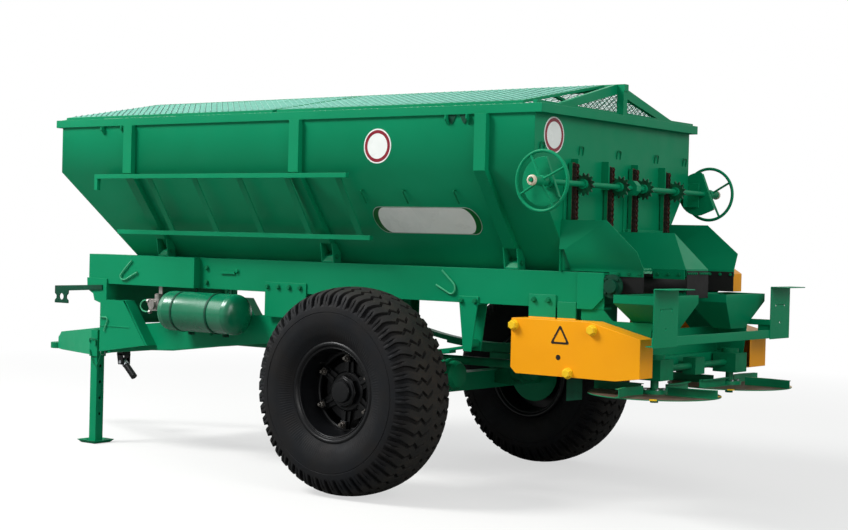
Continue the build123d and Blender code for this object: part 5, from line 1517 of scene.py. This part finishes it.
@dataclass
class FrameDress:
    """Bolts, rope hooks and small plates on the rails, the hangers and the upright."""

    axle: float = field(init=False)
    box: float = field(init=False)

    def __post_init__(self) -> None:
        """Takes the axle's place and the front boxes' outer face."""
        self.axle, self.box = axle_x(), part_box("front_box_left")[1].y

    def rope_hook(self, corners: Sequence[tuple[float, float]], y: float) -> Surface:
        """A bent rope hook that lies against a face: a long leg, a tight bend and a short leg.

        Args:
            corners: the bar's corners as (distance from the axle, height).
            y: the face that it lies on.

        Returns:
            The hook.
        """
        return bent_bar([(self.axle + x, y + 0.008, z) for x, z in corners], 0.035, 0.0048, Along.Y, 10)

    def bolts(self) -> list[Surface]:
        """Left-side bolts on the hangers and the guard's plates, and two on the box's rear end.

        Returns:
            The bolts.
        """
        hangers = [(0.712 + 0.082 * index, 0.008, 1.032) for index in range(4)]
        hangers += [(-0.490, 0.008, 1.010), (-0.402, 0.008, 1.010)]
        guard = [(-0.850, 0.008, 1.035), (-0.935, 0.008, 1.035)]
        box = [(1.450, 0.0, 1.122), (1.450, 0.0, 1.037)]
        return [hex_bolt((self.axle + x, RAIL_FACE + lift, z), Along.Y, 1.0, 0.022)
                for x, lift, z in (*hangers, *guard, *box)]

    def roller_ends(self) -> Surface:
        """Flanged bearings with four bolts on the ends of the conveyor's rear roller.

        Returns:
            Both bearings.
        """
        x, z = self.axle - 1.292, 1.117
        start, circle = max(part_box("conveyor")[1].y + 0.001, 0.482), 0.046
        flange = [(0.0, 0.0), (0.058, 0.0), (0.058, 0.010), (0.036, 0.012), (0.034, 0.030), (0.0, 0.032)]
        parts = [turned(flange, (x, start, z), Along.Y, 40)]
        for index in range(4):
            angle = math.radians(45.0 + 90.0 * index)
            seat = (x + circle * math.cos(angle), start + 0.010, z + circle * math.sin(angle))
            parts.append(hex_bolt(seat, Along.Y, 1.0, 0.014))
        return both_sides(parts)

    def wire_clip(self) -> Surface:
        """A bent wire clip on the left upright.

        Returns:
            The clip.
        """
        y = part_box("riser_left")[1].y + 0.004
        corners = ((2.300, 0.792), (2.244, 0.796), (2.232, 0.780), (2.264, 0.708))
        return bent_bar([(self.axle + x, y, z) for x, z in corners], 0.012, 0.0035, Along.Y)

    def build(self) -> None:
        """Adds both sides' pieces."""
        hooks = [
            self.rope_hook([(2.038, 1.150), (2.147, 1.049), (2.109, 1.023), (1.986, 1.080)], self.box),
            self.rope_hook([(-0.272, 1.163), (-0.366, 1.083), (-0.345, 1.033), (-0.236, 1.086)], RAIL_FACE),
        ]
        dressed("rope_hooks", both_sides(hooks), HOOK_GREEN)
        dressed("frame_bolts", both_sides(self.bolts()), GREEN_CAST)
        along = (self.axle + 1.222, self.axle + 1.335)
        pad = block(Along.Y, (RAIL_FACE, RAIL_FACE + 0.010), (1.092, 1.107), along)
        stud = hex_bolt((self.axle + 1.206, RAIL_FACE, 1.110), Along.Y, 1.0, 0.020)
        dressed("rail_pad", both_sides([pad, stud]), GREEN)
        dressed("wire_clip", self.wire_clip(), HOOK_GREEN)
        dressed("roller_bearings", self.roller_ends(), DARK_GREEN)


@dataclass
class JackDress:
    """The parking jack's pin with its ring, the catch on the sleeve and a short hanging chain."""

    stub: float = 0.0075
    ring: float = 0.018

    def build(self) -> None:
        """Adds the pin's two ends, its pull ring, the bent catch and the chain as one sagging bar."""
        low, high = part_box("jack_sleeve")
        x, y, _ = middle("jack_leg")
        z, face = low.z + 0.045, high.y + 0.005
        stubs = [rod([(side + shift, y, z) for shift in shifts], self.stub, Along.Z.value, 14)
                 for side, shifts in ((low.x, (-0.014, -0.005, 0.004)), (high.x, (-0.004, 0.006, 0.018)))]
        corners = ((-0.028, 0.604), (-0.028, 0.650), (0.028, 0.652), (0.028, 0.628))
        catch = bent_bar([(x + shift, face, z) for shift, z in corners], 0.008, 0.004, Along.Y)
        hang = np.linspace(-1.0, 1.0, 25)
        sag = np.stack([x - 0.030 + 0.055 * hang, np.full(25, face), 0.486 + 0.094 * hang**2], axis=1)
        dressed("jack_catch", merged([catch, rod(sag, 0.0032, Along.Y.value, 8)]), GREEN_CAST)
        pull = hoop((low.x - 0.011, y, z - self.ring), Along.X, self.ring, 0.002, 20, 8)
        dressed("jack_pin", merged([*stubs, pull]), ZINC)


@dataclass
class HangingJoint:
    """The drive's front joint, which hangs by its own weight below the drawbar."""

    top: tuple[float, float] = (2.700, 0.640)
    cross: tuple[float, float] = (2.722, 0.462)
    half_width: float = 0.034

    def build(self) -> None:
        """Replaces the plain joint: two forks, their cross and a splined tube in a black sleeve."""
        axle = axle_x()
        top, cross = (np.array([axle + x, 0.0, z]) for x, z in (self.top, self.cross))
        x = float(cross[0])
        way = np.array([-0.74, 0.0, -0.67])
        neck = [top, top * 0.5 + cross * 0.5 + (0.004, 0.0, 0.0), cross + (0.0, 0.0, 0.050)]
        fork = [(0.445, x - 0.024), (0.445, x + 0.020), (0.520, x + 0.034), (0.520, x - 0.026)]
        crown = [(0.505, x - 0.028), (0.505, x + 0.034), (0.530, x + 0.030), (0.530, x - 0.024)]
        parts = [
            rod(neck, 0.024, Along.Y.value, 20),
            *(plate(fork, Along.Y, y, y + 0.008) for y in (-self.half_width, self.half_width - 0.008)),
            plate(crown, Along.Y, -self.half_width, self.half_width),
            rod([cross + way * reach for reach in (0.012, 0.075, 0.140)], 0.0215, Along.Y.value, 24),
        ]
        joint = dressed("hanging_joint", merged(parts), BLACK, bevel=0.002)
        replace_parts(joint, "drive_yoke")
        metal = [
            rod([cross + (0.0, y, 0.0) for y in (-0.036, 0.0, 0.036)], 0.012, Along.Z.value, 20),
            rod([cross + way * reach for reach in (-0.018, 0.0, 0.030)], 0.0235, Along.Y.value, 20),
        ]
        dressed("joint_cross", merged(metal), ZINC)


@dataclass
class ValveDress:
    """The brake valve's ports, its bent pipe and its flange bolts."""

    height: float = 0.890

    def build(self) -> None:
        """Adds the ports and a pipe that loops forward and back into the body."""
        low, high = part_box("brake_valve")
        x, y, z = high.x - 0.010, high.y - 0.045, self.height
        corners = [(x, y, z + 0.020), (x + 0.050, y, z + 0.026), (x + 0.078, y, z - 0.012),
                   (x + 0.050, y, z - 0.046), (x - 0.010, y, z - 0.044)]
        dressed("valve_pipe", bent_bar(corners, 0.028, 0.0045, Along.Y, 10), HOOK_GREEN)
        stepped = [(0.0, 0.0), (0.016, 0.0), (0.016, 0.020), (0.012, 0.022), (0.012, 0.034), (0.0, 0.034)]
        parts = [
            turned(stepped, (low.x + 0.030, y, z + 0.034), Along.Z, 24),
            pin(0.013, 0.016, (x - 0.004, y, z + 0.020), Along.X, 6),
            pin(0.013, 0.016, (x - 0.020, y, z - 0.044), Along.X, 6),
        ]
        parts += [hex_bolt((low.x + dx, high.y - 0.022, z + dz), Along.Y, 1.0, 0.010)
                  for dx in (0.018, 0.062) for dz in (-0.020, 0.024)]
        dressed("valve_ports", merged(parts), CAST)


# ---------------------------------------------------------------- spreading gear


@dataclass
class GuardDress:
    """Hexagon bolts, the blank warning triangle and the grease hole on a chain guard, and disc shields."""

    side: Side
    top: float = 0.945
    bend: float = 0.345

    def build(self) -> None:
        """Adds the pieces on the guard's outer face."""
        low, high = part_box(f"chain_guard_{self.side.word}")
        out = self.side.sign
        face = high.y if out > 0 else low.y
        seats = [(high.x - 0.016, self.top - 0.035), (high.x - 0.467, self.top - 0.038),
                 (high.x - 0.336, low.z + 0.020)]
        bolts = merged([hex_bolt((x, face, z), Along.Y, out, 0.040) for x, z in seats])
        dressed(f"guard_bolts_{self.side.word}", bolts, YELLOW_BOLT)
        bend = high.x - (high.x - low.x) * self.bend
        # The grease hole is a thin black disc on the face: painted shade inside the hole.
        hole = pin(0.013, out * 0.001, (bend - 0.026, face, low.z + 0.093), Along.Y)
        dressed(f"guard_hole_{self.side.word}", hole, FILM_BLACK)
        if self.side is Side.LEFT:
            self.triangle(bend - 0.034, low.z + 0.190, face)
            self.shields()

    def shields(self) -> None:
        """The small plates behind both guards, outside the discs."""
        front, rear = axle_x() - 1.077, axle_x() - 1.165
        shield = plate([(0.548, front), (0.672, front), (0.672, rear), (0.562, rear)], Along.Y, 0.556, 0.560)
        dressed("disc_shields", both_sides([shield]), DARK_GREEN)

    def triangle(self, x: float, z: float, face: float) -> None:
        """A blank triangle: a black outline between two rounded three-cornered loops.

        Args:
            x: its middle along the machine.
            z: its middle's height.
            face: the guard's outer face.
        """
        corners = np.radians([90.0, 210.0, 330.0])
        turn = np.linspace(0.0, TAU, 60, endpoint=False) + math.pi / 2
        slant = np.cos(turn[:, None] - corners[None, :] - math.pi)
        spread = np.min(1.0 / np.maximum(slant, 1e-3), axis=1) * 0.5
        loops = []
        for radius, lift in ((0.064, 0.0), (0.064, 0.0012), (0.044, 0.0012), (0.044, 0.0)):
            reach = radius * np.minimum(spread, 0.90)
            loop = [x - reach * np.cos(turn), np.full(len(turn), face + lift), z + reach * np.sin(turn)]
            loops.append(np.stack(loop, axis=1))
        dressed("guard_triangle", grid(np.stack(loops), True, True), FILM_BLACK)


@dataclass
class ChuteDress:
    """Bolts that hold the rubber flaps, and the strips on the divider."""

    bolts: tuple[float, ...] = (-1.308, -1.368, -1.428)
    strip: tuple[float, float] = (-1.476, -1.300)

    def build(self) -> None:
        """Adds rows of small bolts along the cheeks' and the divider's lower edges, and the strips."""
        axle = axle_x()
        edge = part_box("rubber_flaps")[0].x
        seats = ((0.0, 0.485, 1.178, 1.0), (0.0, 0.476, 1.176, -1.0), (-0.020, 0.1285, 1.178, 1.0))
        bolts = [hex_bolt((axle + x + shift, y, z), Along.Y, out, 0.013)
                 for x in self.bolts for shift, y, z, out in seats]
        bolts += [hex_bolt((edge, 0.020 + 0.022 * index, 1.184), Along.X, -1.0, 0.010) for index in range(5)]
        along = (axle + self.strip[0], axle + self.strip[1])
        strip = block(Along.Y, (0.1215, 0.1285), (1.154, 1.2035), along)
        dressed("divider_strips", both_sides([strip]), GREEN, bevel=0.001)
        dressed("flap_bolts", both_sides(bolts), GREEN_CAST)


@dataclass
class DiscDress:
    """A spinner's centre nut, its vanes' bolts and the pale marks on its edge."""

    side: Side
    circle: float = 0.045
    marks: tuple[float, ...] = (118.0, 205.0, 298.0)
    mark_half: float = 3.2

    def build(self) -> None:
        """Adds the nut under the disc, small bolts on its top and three marks over its edge."""
        low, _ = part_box(f"spinner_{self.side.word}")
        x, y, _ = middle(f"spinner_{self.side.word}")
        body = f"disc_{self.side.word}"
        nut = [(0.0, 0.0), (0.022, 0.0), (0.022, -0.012), (0.014, -0.014), (0.014, 0.0), (0.0, 0.0)]
        bolts = [turned(nut, (x, y, low.z + 0.030), Along.Z, 6)]
        for index in range(4):
            angle = (index + 0.5) * TAU / 4
            seat = (x + self.circle * math.cos(angle), y + self.circle * math.sin(angle), 0.624)
            bolts.append(hex_bolt(seat, Along.Z, 1.0, 0.014))
        dressed(f"disc_bolts_{self.side.word}", merged(bolts), ZINC, body)
        profile = ((0.3195, 0.6003), (0.3206, 0.6003), (0.3206, 0.6053), (0.2950, 0.6053), (0.2950, 0.6048))
        marks = []
        for mark in self.marks:
            turn = np.radians(np.linspace(mark - self.mark_half, mark + self.mark_half, 7))
            loops = [np.stack([x + r * np.cos(turn), y + r * np.sin(turn), np.full(7, z)], axis=1)
                     for r, z in profile]
            shape = grid(np.stack(loops, axis=1), False, True)
            shape.faces += [list(range(5)), list(range(30, 35))[::-1]]
            marks.append(shape)
        dressed(f"disc_marks_{self.side.word}", merged(marks), YELLOW_BOLT, body)


# ---------------------------------------------------------------- whole machine


def finish_nodes(nodes: dict[str, bpy.types.Object]) -> None:
    """Gives every shown CAD node its material and softly rounded edges.

    Args:
        nodes: the frame's nodes by name.
    """
    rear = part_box("gate_left")[0].x
    gate = replace(GATE, zone_from=rear + 0.0248, zone_to=rear + 0.0240)
    for name, node in nodes.items():
        finish = GREEN
        for prefix, choice in (*NODE_FINISHES, ("gate_left", gate), ("gate_right", gate)):
            if name.startswith(prefix):
                finish = choice
        node.data.materials.clear()
        node.data.materials.append(finish.build())
        weld = node.modifiers.new("joined corners", "WELD")
        weld.merge_threshold = 2e-5
        edge = node.modifiers.new("rounded edges", "BEVEL")
        edge.width, edge.segments, edge.limit_method = 0.0018, 2, "ANGLE"
        edge.angle_limit = math.radians(38)
        even = node.modifiers.new("even shading", "WEIGHTED_NORMAL")
        even.keep_sharp = True
        node.data.polygons.foreach_set("use_smooth", np.ones(len(node.data.polygons), bool))
    log.info("finished %d CAD nodes", len(nodes))


@dataclass
class Studio:
    """Pale floor, white surround, soft lights and the camera."""

    focal: float = 67.04
    sensor: float = 36.0
    azimuth: float = 216.7571
    elevation: float = 0.68958
    roll: float = 1.44866
    eye: tuple[float, float, float] = (-5.9945, 7.12812, 1.31943)
    shift: tuple[float, float] = (-0.01807, -0.00698)
    reach: float = 120.0

    def floor(self) -> None:
        """A wide pale floor that fades to white away from the machine."""
        mesh = bpy.data.meshes.new("floor")
        corners = [(x * self.reach, y * self.reach, 0) for x, y in ((-1, -1), (1, -1), (1, 1), (-1, 1))]
        mesh.from_pydata(corners, [], [(0, 1, 2, 3)])
        floor = placed("floor", mesh)
        material = bpy.data.materials.new("matt_white_studio_floor")
        tree = emptied(material)
        place = add(tree, "ShaderNodeTexCoord").outputs["Object"]
        far = add(tree, "ShaderNodeVectorMath", {"operation": "LENGTH"}, {0: place})
        share = ramp(tree, far.outputs["Value"], 4.0, 9.0, (0.0, 1.0))
        ray = add(tree, "ShaderNodeLightPath").outputs["Is Camera Ray"]
        both = add(tree, "ShaderNodeMath", {"operation": "MULTIPLY"}, {0: share, 1: ray})
        matt = add(tree, "ShaderNodeBsdfDiffuse", {"Color": linear("#8c8c8a")})
        glow = add(tree, "ShaderNodeEmission", {"Color": WHITE, "Strength": 1.0})
        lift = add(tree, "ShaderNodeEmission", {"Color": WHITE, "Strength": 0.62})
        black = add(tree, "ShaderNodeEmission", {"Strength": 0.0})
        seen = add(tree, "ShaderNodeMixShader", None, {0: ray, 1: black.outputs[0], 2: lift.outputs[0]})
        near = add(tree, "ShaderNodeAddShader", None, {0: matt.outputs[0], 1: seen.outputs[0]})
        links = {0: both.outputs[0], 1: near.outputs[0], 2: glow.outputs[0]}
        mixed = add(tree, "ShaderNodeMixShader", None, links)
        add(tree, "ShaderNodeOutputMaterial", None, {"Surface": mixed.outputs[0]})
        mesh.materials.append(material)

    def surround(self) -> None:
        """An overcast sky: bright overhead and dim below, white to the camera and in reflections."""
        world = bpy.data.worlds.new("overcast")
        bpy.context.scene.world = world
        tree = emptied(world)
        way = add(tree, "ShaderNodeTexCoord").outputs["Generated"]
        parts = add(tree, "ShaderNodeSeparateXYZ", None, {"Vector": way})
        level = ramp(tree, parts.outputs["Z"], -0.05, 0.8, (0.10, 0.62))
        sky = add(tree, "ShaderNodeBackground", {"Color": (0.94, 0.97, 1.0, 1.0)}, {"Strength": level})
        white = add(tree, "ShaderNodeBackground", {"Color": WHITE, "Strength": 1.0})
        path = add(tree, "ShaderNodeLightPath").outputs
        seen = path["Is Camera Ray"]
        for ray in ("Is Transmission Ray", "Is Glossy Ray"):
            seen = add(tree, "ShaderNodeMath", {"operation": "MAXIMUM"}, {0: seen, 1: path[ray]}).outputs[0]
        mixed = add(tree, "ShaderNodeMixShader", None, {0: seen, 1: sky.outputs[0], 2: white.outputs[0]})
        add(tree, "ShaderNodeOutputWorld", None, {"Surface": mixed.outputs[0]})

    def lamp(self, name: str, place: tuple[float, float, float], size: float, power: float) -> None:
        """A square area light that looks at the machine's middle.

        Args:
            name: the light's name.
            place: where it stands.
            size: its side in metres.
            power: in watts.
        """
        data = bpy.data.lights.new(name, "AREA")
        data.shape, data.size, data.energy = "SQUARE", size, power
        lamp = placed(name, data)
        lamp.location = place
        way = np.array(place) - np.array([0.0, 0.0, 1.0])
        tilt = math.acos(way[2] / np.linalg.norm(way))
        lamp.rotation_euler = (tilt, 0.0, math.atan2(way[1], way[0]) + math.pi / 2)

    def camera(self) -> None:
        """The camera: back = (sin a·cos e, -cos a·cos e, sin e), rolled about its line of sight."""
        a, e, roll = map(math.radians, (self.azimuth, self.elevation, self.roll))
        back = np.array([math.sin(a) * math.cos(e), -math.cos(a) * math.cos(e), math.sin(e)])
        right = np.cross(-back, Along.Z.value)
        right /= np.linalg.norm(right)
        up = np.cross(back, right)
        turned_right = math.cos(roll) * right + math.sin(roll) * up
        data = bpy.data.cameras.new("camera")
        data.lens, data.sensor_width, data.clip_end = self.focal, self.sensor, 500.0
        data.shift_x, data.shift_y = self.shift
        camera = placed("camera", data)
        matrix = np.eye(4)
        matrix[:3] = np.stack([turned_right, np.cross(back, turned_right), back, self.eye], axis=1)
        camera.matrix_world = Matrix(matrix.tolist())
        bpy.context.scene.camera = camera

    def build(self) -> None:
        """Sets the stage."""
        bpy.context.scene.view_settings.view_transform = "Standard"
        self.floor()
        self.surround()
        self.lamp("key_left_high", (5.5, 6.5, 9.5), 4.0, 1850.0)
        self.lamp("rear_high", (-9.0, 3.0, 6.0), 4.0, 270.0)
        self.lamp("rear_low", (-8.5, 4.5, 1.8), 3.0, 85.0)
        self.lamp("front_soft", (8.0, 3.0, 5.0), 4.0, 160.0)
        self.camera()


def main() -> None:
    """Builds the machine's looks in order."""
    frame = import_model()
    finish_nodes(frame["nodes"])
    for side in Side:
        for part in (Wheel, GateDrive, GuardDress, DiscDress):
            part(side).build()
        for end in ("front", "rear"):
            CoverPanel(end, side).build()
    for part in (
        HopperDress, RibFeet, GableNet, ShaftBrackets, AirTank, BrakeChamber, FrameDress, JackDress,
        HangingJoint, ValveDress, ChuteDress,
    ):
        part().build()
    Studio().build()
    bpy.context.view_layer.update()


if __name__ == "__main__":
    main()
